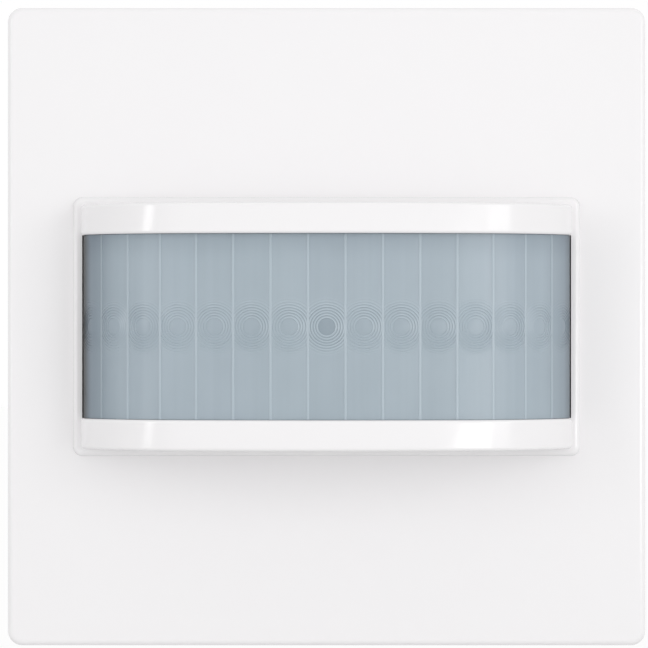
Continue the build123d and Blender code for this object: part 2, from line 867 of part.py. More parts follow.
# Adjusters: a trimmer body on the board and a rotor that a driver turns from behind
trimmer_body_back_h = board_back_h - trimmer_depth
rotor_front_h = trimmer_rotor_back_h + trimmer_rotor_height
for side, trimmer_name in ((-1, "dusk"), (1, "time")):
    trimmer_place = [(side * trimmer_x, trimmer_z)]
    with BuildPart() as trimmer_body:
        slab(trimmer_size, trimmer_size, trimmer_body_back_h, board_back_h, trimmer_place)
        post(
            trimmer_rotor_r + trimmer_gap, trimmer_body_back_h, rotor_front_h + trimmer_gap,
            trimmer_place, mode=Mode.SUBTRACT,
        )
    save(trimmer_body, f"{trimmer_name}_trimmer_body")

    with BuildPart() as rotor:
        post(trimmer_rotor_r, trimmer_rotor_back_h, rotor_front_h, trimmer_place)
        slab(
            2 * trimmer_rotor_r + overrun, trimmer_slot_width, trimmer_rotor_back_h,
            trimmer_rotor_back_h + trimmer_slot_depth, trimmer_place, mode=Mode.SUBTRACT,
        )
    save(rotor, f"{trimmer_name}_adjuster")

# Plug of the head: an insulator with guide pegs, and its pins
peg_places = [(-peg_x, plug_z), (peg_x, plug_z)]
with BuildPart() as plug_housing:
    slab(plug_full_width, plug_height, plug_back_h, board_back_h, [(0, plug_z)])
    post(peg_r, plug_back_h - peg_reach, plug_back_h, peg_places)
    hole_size = pin_size + 2 * touch_gap
    slab(hole_size, hole_size, plug_back_h, board_back_h, pin_places, mode=Mode.SUBTRACT)
save(plug_housing, "plug_housing")

with BuildPart() as plug_pins:
    slab(pin_size, pin_size, pin_back_h, board_front_h + pin_front_tail, pin_places)
save(plug_pins, "plug_pins")

# Leaf springs above and below the head, bulged where they snap behind the ring
with BuildPart() as retaining_springs:
    spring_z = cover_height / 2 + spring_clearance + spring_thickness / 2
    with BuildSketch(Plane.YZ) as spring_face:
        with BuildLine() as spring_line:
            FilletPolyline(
                (-spring_front_h, spring_z),
                (-spring_knee_h, spring_z),
                (-spring_bulge_h, spring_z + spring_bulge),
                (-spring_tip_h, spring_z),
                radius=spring_bend_r,
            )
        trace(spring_line.line, line_width=spring_thickness)
    extrude(spring_face.sketch, amount=spring_width / 2, both=True)
    mirror(about=Plane.XY)
save(retaining_springs, "retaining_springs")

# Support ring with its box-screw holes above and below, and its opening for the insert
box_screw_places = [(0, side * box_screw_spacing / 2) for side in (-1, 1)]
lid_screw_places = corners(lid_screw_x, lid_screw_z)
claw_screw_places = [(-claw_screw_x, 0), (claw_screw_x, 0)]

with BuildPart() as support_ring:
    slab(ring_size, ring_size, 0, ring_thickness, corner_r=ring_corner_r)
    post(ring_ear_r, 0, ring_thickness, box_screw_places)
    insert_block(-ring_seat_gap, 0, ring_seat_depth, mode=Mode.SUBTRACT)
    bead_x = ring_notch_width / 2 + ring_bead_gap + ring_bead_length / 2
    bead_z = (ring_size / 2 + ring_opening_height / 2) / 2
    with BuildSketch(wall_plane(ring_thickness - touch_gap)) as beads:
        with Locations(corners(bead_x, bead_z)):
            SlotOverall(ring_bead_length, ring_bead_width)
    extrude(beads.sketch, amount=ring_bead_height + touch_gap)
    bead_tops = support_ring.faces().filter_by(Axis.Y).group_by(Axis.Y)[0]
    fillet(bead_tops.edges(), radius=ring_bead_edge_r)
    with BuildSketch(wall_plane(0)) as opening:
        Rectangle(ring_opening_width, ring_opening_height)
        chamfer(opening.vertices(), length=ring_opening_chamfer)
        Rectangle(ring_notch_width, 2 * ring_notch_half_height)
    extrude(opening.sketch, amount=ring_thickness, mode=Mode.SUBTRACT)
    post(box_screw_r, 0, ring_thickness, box_screw_places, mode=Mode.SUBTRACT)
    post(
        claw_screw_r + claw_screw_gap, 0, ring_thickness, claw_screw_places, mode=Mode.SUBTRACT,
    )
    post(
        lid_screw_r + lid_pilot_gap, 0, ring_thickness, lid_screw_places, mode=Mode.SUBTRACT,
    )
    with BuildSketch(wall_plane(0)) as ring_slots:
        for slot_x, slot_z in corners(ring_slot_offset, ring_slot_offset):
            slot_turn = -45 if slot_x * slot_z > 0 else 45
            with Locations((slot_x, slot_z)):
                SlotOverall(ring_slot_length, ring_slot_width, rotation=slot_turn)
    extrude(ring_slots.sketch, amount=ring_thickness, mode=Mode.SUBTRACT)
save(support_ring, "support_ring")

# Insert housing: an open cup with terminal pockets, wire windows and lugs for the claws
terminal_xs = [
    (k - (terminal_count - 1) / 2) * terminal_pitch for k in range(terminal_count)
]
terminal_places = [(x, terminal_z) for x in terminal_xs]
cage_back_z = terminal_z + cage_depth / 2
cross_wall_z = cage_back_z + cross_wall_gap + cross_wall_thickness / 2
inner_half_height = housing_height / 2 - housing_wall
wire_window_front_h = terminal_bar_back_h

with BuildPart() as housing_fill:
    insert_block(housing_wall / 2, housing_back_h + housing_wall / 2, housing_front_h)

with BuildPart() as housing_ribs:
    rib_width = terminal_pitch - cage_width - 2 * cage_rib_gap
    rib_xs = [x + terminal_pitch / 2 for x in terminal_xs[:-1]]
    rib_low_z, rib_high_z = -inner_half_height - housing_wall / 2, cross_wall_z
    slab(
        rib_width, rib_high_z - rib_low_z, terminal_rib_back_h, terminal_rib_front_h,
        [(x, (rib_low_z + rib_high_z) / 2) for x in rib_xs],
    )
    slab(
        housing_width, cross_wall_thickness, housing_back_h, terminal_bar_back_h,
        [(0, cross_wall_z)],
    )
    post(housing_boss_r, housing_back_h, housing_front_h, lid_screw_places)
    add(housing_fill.part, mode=Mode.INTERSECT)

with BuildPart() as insert_housing:
    insert_block(0, housing_back_h, housing_front_h)
    fillet(back_edges(insert_housing), radius=housing_edge_r)
    slab(
        housing_panel_width, housing_panel_height, housing_back_h - overrun,
        housing_back_h + housing_panel_depth, [(0, housing_panel_z)],
        corner_r=housing_panel_corner_r, mode=Mode.SUBTRACT,
    )
    groove_places = [
        ((k - (housing_groove_count - 1) / 2) * housing_groove_pitch, housing_height / 2)
        for k in range(housing_groove_count)
    ]
    slab(
        housing_groove_width, 2 * housing_groove_depth, housing_back_h - overrun,
        housing_groove_front_h, groove_places, mode=Mode.SUBTRACT,
    )
    insert_block(housing_wall, housing_floor_h, overrun, mode=Mode.SUBTRACT)
    add(housing_ribs.part)
    post(
        lid_screw_r + lid_pilot_gap, -lid_screw_length, housing_front_h, lid_screw_places,
        mode=Mode.SUBTRACT,
    )
    post(
        power_board_post_r, housing_floor_h, power_board_back_h,
        corners(power_board_post_x, power_board_post_z),
    )
    window_depth = housing_wall + 2 * overrun
    slab(
        wire_window_width, window_depth, wire_window_front_h - wire_window_height,
        wire_window_front_h, [(x, -housing_height / 2) for x in terminal_xs],
        mode=Mode.SUBTRACT,
    )
    window_mid_h = wire_window_front_h - wire_window_height / 2
    with BuildSketch(Plane.XY.offset(-housing_height / 2)) as funnels:
        with Locations([(x, -window_mid_h) for x in terminal_xs]):
            Rectangle(
                wire_window_width + 2 * wire_window_funnel,
                wire_window_height + 2 * wire_window_funnel,
            )
    extrude(funnels.sketch, amount=wire_window_funnel, taper=45, mode=Mode.SUBTRACT)
    lug_z = claw_width / 2 + claw_lug_gap + claw_lug_thickness / 2
    lug_inner_x = housing_width / 2 - housing_wall / 2
    lug_outer_x = claw_pivot_x + claw_lug_reach
    lug_places = corners((lug_inner_x + lug_outer_x) / 2, lug_z)
    slab(
        lug_outer_x - lug_inner_x, claw_lug_thickness, claw_pivot_h - claw_lug_half_height,
        claw_pivot_h + claw_lug_half_height, lug_places,
    )
    pin_length = 2 * (lug_z + claw_lug_thickness / 2)
    with Locations((-claw_pivot_x, -claw_pivot_h, 0), (claw_pivot_x, -claw_pivot_h, 0)):
        Cylinder(claw_pin_r + touch_gap / 2, pin_length + overrun, mode=Mode.SUBTRACT)
save(insert_housing, "insert_housing")

# Socket that the plug enters, and its fork contacts with long tails to the power board
socket_width = 2 * (peg_x + peg_r + socket_margin)
socket_height = plug_height + 2 * socket_margin
socket_places = [(0, plug_z)]
with BuildPart() as socket_housing:
    slab(socket_width, socket_height, socket_back_h, socket_front_h, socket_places)
    slab(
        socket_width + 2 * socket_flange, socket_height + 2 * socket_flange,
        housing_front_h - socket_flange_thickness, housing_front_h, socket_places,
    )
    slab(pin_hole, pin_hole, socket_back_h, socket_front_h, pin_places, mode=Mode.SUBTRACT)
    slab(
        contact_chamber_width, contact_chamber_height, socket_back_h, contact_chamber_front_h,
        pin_places, mode=Mode.SUBTRACT,
    )
    post(
        peg_r + socket_gap, plug_back_h - peg_reach - socket_gap, socket_front_h, peg_places,
        mode=Mode.SUBTRACT,
    )
save(socket_housing, "socket_housing")

with BuildPart() as socket_contacts:
    slab(contact_thickness, contact_height, contact_fork_back_h, contact_front_h, pin_places)
    slab(
        pin_size, pin_size + 2 * touch_gap, pin_back_h - touch_gap, contact_front_h, pin_places,
        mode=Mode.SUBTRACT,
    )
    slab(contact_thickness, pin_size, power_board_back_h, contact_fork_back_h, pin_places)
save(socket_contacts, "socket_contacts")

# Lid of the insert, with a spigot in the ring's opening and a collar over each terminal screw
with BuildPart() as insert_lid:
    insert_block(-lid_margin, ring_thickness, lid_front_h)
    fillet(front_edges(insert_lid), radius=lid_margin)
    with BuildSketch(wall_plane(housing_front_h)) as spigot:
        Rectangle(
            ring_opening_width - 2 * lid_spigot_gap, ring_opening_height - 2 * lid_spigot_gap
        )
        chamfer(spigot.vertices(), length=ring_opening_chamfer)
    extrude(spigot.sketch, amount=ring_thickness - housing_front_h)
    post(
        lid_driver_hole_r + lid_collar_wall, lid_collar_back_h, housing_front_h, terminal_places,
    )
    post(
        lid_driver_hole_r, lid_collar_back_h, lid_front_h, terminal_places, mode=Mode.SUBTRACT,
    )
    slab(
        socket_width + 2 * socket_gap, socket_height + 2 * socket_gap, housing_front_h,
        lid_front_h, socket_places, mode=Mode.SUBTRACT,
    )
    post(
        lid_screw_head_r + lid_screw_gap, lid_front_h - lid_screw_recess, lid_front_h,
        lid_screw_places, mode=Mode.SUBTRACT,
    )
    post(
        lid_screw_r + lid_pilot_gap, housing_front_h, lid_front_h, lid_screw_places,
        mode=Mode.SUBTRACT,
    )
save(insert_lid, "insert_lid")

with BuildPart() as lid_screws:
    lid_seat_h = lid_front_h - lid_screw_recess
    lid_head_h = lid_seat_h + lid_screw_head_height
    post(lid_screw_head_r, lid_seat_h, lid_head_h, lid_screw_places)
    post(lid_screw_r, lid_pilot_gap - lid_screw_length, lid_seat_h, lid_screw_places)
    cross_recess(
        2 * lid_screw_head_r * cross_length_share, drive_slot_width,
        lid_head_h - drive_slot_depth, lid_head_h, lid_screw_places,
    )
save(lid_screws, "lid_screws")

# Terminals: fixed bars, then a cage and its captive screw for each wire
with BuildPart() as terminal_bars:
    bar_length = terminal_bar_leg_z - terminal_bar_front_z
    bar_places = [(x, (terminal_bar_front_z + terminal_bar_leg_z) / 2) for x in terminal_xs]
    leg_places = [(x, terminal_bar_leg_z - terminal_bar_thickness / 2) for x in terminal_xs]
    slab(
        terminal_bar_width, bar_length, terminal_bar_back_h, terminal_bar_front_h, bar_places,
    )
    slab(
        terminal_bar_width, terminal_bar_thickness, power_board_front_h, terminal_bar_back_h,
        leg_places,
    )
save(terminal_bars, "terminal_bars")

for k, terminal_x in enumerate(terminal_xs):
    place = [(terminal_x, terminal_z)]
    with BuildPart() as cage:
        slab(cage_width, cage_depth, cage_back_h, cage_front_h, place)
        slab(
            cage_width - 2 * cage_wall, cage_depth + overrun, cage_floor_h,
            cage_front_h - cage_top, place, mode=Mode.SUBTRACT,
        )
        post(
            terminal_screw_r + terminal_thread_gap, cage_front_h - cage_top, cage_front_h,
            place, mode=Mode.SUBTRACT,
        )
        upright_edges = cage.edges().filter_by(Axis.Y).group_by(SortBy.LENGTH)[-1]
        fillet(upright_edges, radius=cage_wall / 2)
    save(cage, f"terminal_cage_{k + 1}")

    with BuildPart() as terminal_screw:
        post(terminal_head_r, terminal_head_back_h, terminal_head_front_h, place)
        fillet(front_edges(terminal_screw), radius=screw_round_share * terminal_head_height)
        post(terminal_screw_r, terminal_screw_tip_h, terminal_head_back_h, place)
        chamfer(back_edges(terminal_screw), length=screw_round_share * terminal_screw_r)
        cross_recess(
            2 * terminal_head_r * cross_length_share, 2 * drive_slot_width * cross_length_share,
            terminal_head_front_h - 2 * drive_slot_depth, terminal_head_front_h, place,
        )
    save(terminal_screw, f"terminal_screw_{k + 1}")

# Claws: each turns on a pin in the housing's lugs as its screw pulls the foot forward
with BuildPart() as claw_pins:
    with Locations((-claw_pivot_x, -claw_pivot_h, 0), (claw_pivot_x, -claw_pivot_h, 0)):
        Cylinder(claw_pin_r, pin_length)
save(claw_pins, "claw_pins")

with BuildPart() as claw_right:
    arm_inner_x = claw_pivot_x - claw_thickness / 2
    arm_outer_x = claw_pivot_x + claw_thickness / 2
    tooth_tip = (arm_outer_x + claw_tooth_reach, -claw_arm_tip_h)
    with BuildSketch(Plane.XY.offset(-claw_width / 2)) as claw_face:
        with Locations((claw_pivot_x, -claw_pivot_h)):
            Circle(claw_knuckle_r)
        with BuildLine():
            Polyline(
                (arm_inner_x, -claw_pivot_h),
                (arm_inner_x, -claw_arm_tip_h),
                tooth_tip,
                (arm_outer_x, -(claw_arm_tip_h + 2 * claw_tooth_height)),
                (arm_outer_x, -claw_pivot_h),
                close=True,
            )
        make_face()
        foot_mid_x = (claw_pivot_x + claw_reach_x) / 2
        with Locations((foot_mid_x, -claw_pivot_h)):
            Rectangle(claw_reach_x - claw_pivot_x, claw_thickness)
    extrude(claw_face.sketch, amount=claw_width)
    slot_end_x = claw_reach_x - claw_bridge
    slot_start_x = claw_pivot_x - claw_knuckle_r - overrun
    slot_depth_h = claw_arm_tip_h - overrun
    slab(
        slot_end_x - slot_start_x, claw_slot_width, slot_depth_h, overrun,
        [((slot_end_x + slot_start_x) / 2, 0)], mode=Mode.SUBTRACT,
    )
    with Locations((claw_pivot_x, -claw_pivot_h, 0)):
        Cylinder(claw_pin_r + claw_pin_gap, claw_width + overrun, mode=Mode.SUBTRACT)
save(claw_right, "claw_right")

with BuildPart() as claw_left:
    mirror(claw_right.part, about=Plane.YZ)
save(claw_left, "claw_left")

for side, side_name in ((-1, "left"), (1, "right")):
    place = [(side * claw_screw_x, 0)]
    with BuildPart() as claw_screw:
        screw_top_h = ring_thickness + claw_screw_head_height
        post(claw_screw_head_r, ring_thickness, screw_top_h, place)
        fillet(front_edges(claw_screw), radius=screw_round_share * claw_screw_head_height)
        post(claw_screw_r, claw_screw_tip_h, ring_thickness, place)
        chamfer(back_edges(claw_screw), length=screw_round_share * claw_screw_r)
        cross_recess(
            2 * claw_screw_head_r * cross_length_share, drive_slot_width,
            screw_top_h - 2 * drive_slot_depth, screw_top_h, place,
        )
    save(claw_screw, f"claw_screw_{side_name}")

# Power board, trimmed to the housing and cut clear of its screw bosses
with BuildPart() as power_board:
    board_inset = housing_wall + power_board_gap
    insert_block(board_inset, power_board_back_h, power_board_front_h)
    post(
        housing_boss_r + power_board_gap, power_board_back_h, power_board_front_h,
        lid_screw_places, mode=Mode.SUBTRACT,
    )
    cut_high_z = cross_wall_z + cross_wall_thickness / 2 + power_board_gap
    slab(
        housing_width, housing_height, power_board_back_h, power_board_front_h,
        [(0, cut_high_z - housing_height / 2)], mode=Mode.SUBTRACT,
    )
    tail_hole = pin_size + 2 * touch_gap
    slab(
        tail_hole, tail_hole, power_board_back_h, power_board_front_h, pin_places,
        mode=Mode.SUBTRACT,
    )
save(power_board, "power_board")

# Relay, standing on the power board: iron yoke and core, coil, hinged armature and contacts
relay_base_h = power_board_front_h + relay_base_thickness
coil_x = relay_x + relay_coil_x
bobbin_back_h = relay_base_h + relay_iron
bobbin_front_h = bobbin_back_h + relay_bobbin_height
pole_front_h = bobbin_front_h + relay_pole_thickness
hinge_x = relay_x + relay_hinge_x
inner_width = relay_width - 2 * (relay_wall + relay_cover_gap)
inner_depth = relay_depth - 2 * (relay_wall + relay_cover_gap)
relay_place = [(relay_x, relay_z)]
coil_place = [(coil_x, relay_z)]

with BuildPart() as relay_base:
    slab(inner_width, inner_depth, power_board_front_h, relay_base_h, relay_place)
save(relay_base, "relay_base")

with BuildPart() as relay_yoke:
    leg_back_x = hinge_x - relay_iron
    yoke_width = relay_x + relay_yoke_end - leg_back_x
    slab(
        yoke_width, relay_iron_width, relay_base_h, bobbin_back_h,
        [(leg_back_x + yoke_width / 2, relay_z)],
    )
    slab(
        relay_iron, relay_iron_width, relay_base_h, pole_front_h,
        [(hinge_x - relay_iron / 2, relay_z)],
    )
    post(relay_core_r, bobbin_back_h, bobbin_front_h, coil_place)
    post(relay_pole_r, bobbin_front_h, pole_front_h, coil_place)
save(relay_yoke, "relay_yoke")

with BuildPart() as relay_bobbin:
    post(relay_bobbin_tube_r, bobbin_back_h, bobbin_front_h, coil_place)
    for flange_h in (bobbin_back_h, bobbin_front_h - relay_bobbin_flange):
        slab(
            relay_bobbin_size, relay_bobbin_size, flange_h, flange_h + relay_bobbin_flange,
            coil_place,
        )
    post(
        relay_core_r + touch_gap, bobbin_back_h, bobbin_front_h, coil_place, mode=Mode.SUBTRACT,
    )
save(relay_bobbin, "relay_bobbin")

with BuildPart() as relay_winding:
    winding_back_h = bobbin_back_h + relay_bobbin_flange
    winding_front_h = bobbin_front_h - relay_bobbin_flange
    post(relay_winding_r, winding_back_h, winding_front_h, coil_place)
    post(
        relay_bobbin_tube_r, winding_back_h, winding_front_h, coil_place, mode=Mode.SUBTRACT,
    )
save(relay_winding, "relay_winding")

# The armature rests open, tilted about the top of the yoke's leg
relay_open = radians(relay_open_deg)
armature_plane = Plane(
    origin=(hinge_x, -pole_front_h, relay_z),
    x_dir=(cos(relay_open), -sin(relay_open), 0),
    z_dir=(0, 0, 1),
)
armature_back = relay_hinge_gap
armature_front = armature_back + relay_iron


def blade_plane(along, above):
    """Plane on the tilted armature, facing the room, at a distance along and above its hinge."""
    origin = armature_plane.from_local_coords((along, -above, 0))
    return Plane(origin=origin, x_dir=armature_plane.x_dir, z_dir=-armature_plane.y_dir)


with BuildPart() as relay_armature:
    armature_mid = (relay_armature_length - relay_armature_tail) / 2
    with BuildSketch(blade_plane(armature_mid, armature_back)) as armature_face:
        Rectangle(relay_armature_length + relay_armature_tail, relay_iron_width)
        nose = armature_face.vertices().group_by(Axis.X)[-1]
        chamfer(nose, length=relay_armature_nose_share * relay_iron_width)
    extrude(amount=relay_iron)
save(relay_armature, "relay_armature")

with BuildPart() as relay_blade:
    with BuildSketch(blade_plane(relay_blade_start + relay_blade_length / 2, armature_front)):
        Rectangle(relay_blade_length, relay_blade_width)
    extrude(amount=relay_blade_thickness)
    rivet_along = relay_blade_start + relay_blade_width / 2
    with BuildSketch(blade_plane(rivet_along, armature_front + relay_blade_thickness)):
        with GridLocations(relay_blade_width / 2, relay_blade_width / 2, 2, 1):
            Circle(relay_rivet_r)
    extrude(amount=relay_rivet_height)
    with BuildSketch(blade_plane(relay_contact_x, armature_front)):
        Circle(relay_contact_r)
    extrude(amount=-relay_contact_height)
save(relay_blade, "relay_blade")

with BuildPart() as relay_fixed_contact:
    contact_x = hinge_x + relay_contact_x
    contact_front_face_h = pole_front_h + armature_front - relay_contact_height - touch_gap
    post_front_h = contact_front_face_h - relay_contact_height
    post_back_h = relay_base_h
    strip_x = contact_x + relay_contact_r - relay_iron / 4
    slab(
        relay_iron / 2, relay_blade_width, post_back_h, post_front_h, [(strip_x, relay_z)],
    )
    slab(
        2 * relay_contact_r, relay_blade_width, post_front_h - relay_iron / 2, post_front_h,
        [(contact_x, relay_z)],
    )
    post(relay_contact_r, post_front_h, contact_front_face_h, [(contact_x, relay_z)])
save(relay_fixed_contact, "relay_fixed_contact")

with BuildPart() as relay_cover:
    cover_front_h = power_board_front_h + relay_height
    slab(
        relay_width, relay_depth, power_board_front_h, cover_front_h, relay_place,
        corner_r=relay_wall,
    )
    fillet(front_edges(relay_cover), radius=relay_wall / 2)
    slab(
        relay_width - 2 * relay_wall, relay_depth - 2 * relay_wall, power_board_front_h,
        cover_front_h - relay_wall, relay_place, mode=Mode.SUBTRACT,
    )
save(relay_cover, "relay_cover")

# Other parts on the power board
with BuildPart() as film_capacitor:
    slab(
        film_width, film_depth, power_board_front_h, power_board_front_h + film_height,
        [film_place], corner_r=film_edge_r,
    )
    fillet(front_edges(film_capacitor), radius=film_edge_r / 2)
save(film_capacitor, "film_capacitor")

with BuildPart() as supply_capacitor:
    post(
        supply_r, power_board_front_h, power_board_front_h + supply_height, [supply_place],
    )
    fillet(front_edges(supply_capacitor), radius=supply_edge_r)
save(supply_capacitor, "supply_capacitor")

with BuildPart() as varistor:
    varistor_x, varistor_z = varistor_place
    varistor_mid_h = power_board_front_h + varistor_lead_length + varistor_r
    disc_plane = Plane(
        origin=(varistor_x - varistor_thickness / 2, -varistor_mid_h, varistor_z),
        x_dir=(0, 0, 1), z_dir=(1, 0, 0),
    )
    with BuildSketch(disc_plane):
        Circle(varistor_r)
    extrude(amount=varistor_thickness)
    fillet(varistor.edges().filter_by(GeomType.CIRCLE), radius=varistor_round_share * varistor_thickness)
    post(
        lead_r, power_board_front_h, varistor_mid_h - varistor_r / 2,
        [(varistor_x, varistor_z - varistor_r / 2), (varistor_x, varistor_z + varistor_r / 2)],
    )
save(varistor, "varistor")

with BuildPart() as fuse:
    fuse_x, fuse_z = fuse_place
    fuse_mid_h = power_board_front_h + fuse_lift + fuse_r
    fuse_plane = Plane(
        origin=(fuse_x, -fuse_mid_h, fuse_z), x_dir=(0, 0, 1), z_dir=(1, 0, 0)
    )
    with BuildSketch(fuse_plane):
        Circle(fuse_r)
    extrude(amount=fuse_length / 2, both=True)
    for end in (-1, 1):
        with BuildSketch(fuse_plane.offset(end * fuse_length / 2)):
            Circle(fuse_r + fuse_cap_extra)
        extrude(amount=-end * fuse_cap_length)
    lead_x = fuse_length / 2 - fuse_cap_length / 2
    post(
        lead_r, power_board_front_h, fuse_mid_h - fuse_r / 2,
        [(fuse_x - lead_x, fuse_z), (fuse_x + lead_x, fuse_z)],
    )
save(fuse, "fuse")
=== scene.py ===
import json
from math import asin, cos, exp, pi, radians, sin, sqrt

import bmesh
import bpy
from mathutils import Matrix, Vector


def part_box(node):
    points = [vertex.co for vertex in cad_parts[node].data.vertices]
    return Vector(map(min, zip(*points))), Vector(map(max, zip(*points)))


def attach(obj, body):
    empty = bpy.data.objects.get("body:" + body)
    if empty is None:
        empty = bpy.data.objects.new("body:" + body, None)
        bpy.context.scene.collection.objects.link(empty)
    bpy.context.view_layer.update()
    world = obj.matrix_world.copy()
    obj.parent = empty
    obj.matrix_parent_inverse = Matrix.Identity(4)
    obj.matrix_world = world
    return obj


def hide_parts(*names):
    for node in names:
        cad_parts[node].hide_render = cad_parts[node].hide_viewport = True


# Motion sensor light switch: a white sensor head with a wrap-round lens on a relay insert.
# X runs to the right, Z up, and the room is towards -Y, so a height from the wall is -Y.
# Numbers for pieces, for bands of the lens film and for the camera's place are millimetres,
# made metres with MM. The camera's lens and sensor are millimetres too, and all other lengths
# are metres.

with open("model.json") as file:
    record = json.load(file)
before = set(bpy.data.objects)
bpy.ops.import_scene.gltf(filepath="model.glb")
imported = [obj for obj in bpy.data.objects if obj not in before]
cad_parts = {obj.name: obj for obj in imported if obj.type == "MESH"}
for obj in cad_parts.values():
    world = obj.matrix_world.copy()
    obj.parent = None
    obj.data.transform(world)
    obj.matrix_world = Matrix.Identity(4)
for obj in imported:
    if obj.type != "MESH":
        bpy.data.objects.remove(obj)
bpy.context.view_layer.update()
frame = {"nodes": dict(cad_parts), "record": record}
nodes = frame["nodes"]
MM = 0.001

# Camera, straight in front of the plate
camera_distance = 431
camera_shift = 0.257
camera_data = bpy.data.cameras.new("camera")
camera_data.sensor_width = 36
camera_data.lens = 236.3
camera_data.clip_start = 0.01
camera = bpy.data.objects.new("camera", camera_data)
camera.location = (-camera_shift * MM, -camera_distance * MM, camera_shift * MM)
camera.rotation_euler = (radians(90), 0, 0)
bpy.context.scene.collection.objects.link(camera)
bpy.context.scene.camera = camera
bpy.context.scene.view_settings.view_transform = "Standard"


# Node helpers

def add_node(tree, kind, **values):
    """Add a node; a value whose name starts with in_ goes to that input, the rest are settings."""
    node = tree.nodes.new(kind)
    for name, value in values.items():
        if name.startswith("in_"):
            node.inputs[name[3:].replace("_", " ")].default_value = value
        else:
            setattr(node, name, value)
    return node


def link(tree, source, target):
    """Join an output to an input."""
    tree.links.new(source, target)


def start_group(name, inputs, outputs):
    """A shader node group with named sockets, given as name: (type, default)."""
    group = bpy.data.node_groups.new(name, "ShaderNodeTree")
    for socket_name, (kind, default) in inputs.items():
        socket = group.interface.new_socket(
            name=socket_name, in_out="INPUT", socket_type="NodeSocket" + kind)
        socket.default_value = default
    for socket_name, kind in outputs.items():
        group.interface.new_socket(
            name=socket_name, in_out="OUTPUT", socket_type="NodeSocket" + kind)
    return group, group.nodes.new("NodeGroupInput"), group.nodes.new("NodeGroupOutput")


def maths(tree, operation, first, second, clamp=False):
    """A Math node; each side is an output or a number."""
    node = add_node(tree, "ShaderNodeMath", operation=operation, use_clamp=clamp)
    for place, side in enumerate((first, second)):
        if isinstance(side, (int, float)):
            node.inputs[place].default_value = side
        else:
            link(tree, side, node.inputs[place])
    return node.outputs[0]


def add_weighted(tree, parts, clamp=False):
    """Sum of outputs, each times its weight."""
    total = 0.0
    for output, weight in parts:
        total = maths(tree, "ADD", total, maths(tree, "MULTIPLY", output, weight), clamp)
    return total


def mix_colours(tree, share, first, second):
    """A colour mix; each side is an output or a colour."""
    node = add_node(tree, "ShaderNodeMix", data_type="RGBA")
    for place, side in ((0, share), (6, first), (7, second)):
        if isinstance(side, (int, float, tuple)):
            node.inputs[place].default_value = side
        else:
            link(tree, side, node.inputs[place])
    return node.outputs[2]


def object_space(tree, scale=(1, 1, 1), turn=(0, 0, 0)):
    """Object coordinates, stretched and turned."""
    coordinates = add_node(tree, "ShaderNodeTexCoord")
    mapping = add_node(tree, "ShaderNodeMapping", in_Scale=scale, in_Rotation=turn)
    link(tree, coordinates.outputs["Object"], mapping.inputs["Vector"])
    return mapping.outputs["Vector"]


def noise(tree, vector, scale, detail, roughness=0.5):
    """A noise value from 0 to 1."""
    node = add_node(
        tree, "ShaderNodeTexNoise", in_Scale=scale, in_Detail=detail, in_Roughness=roughness)
    link(tree, vector, node.inputs["Vector"])
    return node.outputs["Fac"]


def seen_directly(tree):
    """1 for what the camera, a reflection or glass shows, and 0 for what only lights the scene."""
    path = add_node(tree, "ShaderNodeLightPath")
    seen = maths(tree, "MAXIMUM", path.outputs["Is Camera Ray"], path.outputs["Is Glossy Ray"])
    return maths(tree, "MAXIMUM", seen, path.outputs["Is Transmission Ray"])


# Shared effects

def make_worn_edge():
    """Mask of the sharp edges, broken up by noise."""
    group, given, result = start_group(
        "worn_edge",
        {"Edge Width": ("Float", 0.0002), "Amount": ("Float", 1.0)},
        {"Mask": "Float"},
    )
    edge_gain = 9.0
    rounded = add_node(group, "ShaderNodeBevel", samples=4)
    link(group, given.outputs["Edge Width"], rounded.inputs["Radius"])
    plain = add_node(group, "ShaderNodeNewGeometry")
    aligned = add_node(group, "ShaderNodeVectorMath", operation="DOT_PRODUCT")
    link(group, rounded.outputs["Normal"], aligned.inputs[0])
    link(group, plain.outputs["Normal"], aligned.inputs[1])
    edge = maths(group, "SUBTRACT", 1.0, aligned.outputs["Value"])
    broken = noise(group, object_space(group), scale=900.0, detail=4.0)
    mask = maths(
        group, "MULTIPLY", maths(group, "MULTIPLY", edge, broken), edge_gain, clamp=True)
    link(group, maths(group, "MULTIPLY", mask, given.outputs["Amount"]), result.inputs["Mask"])
    return group


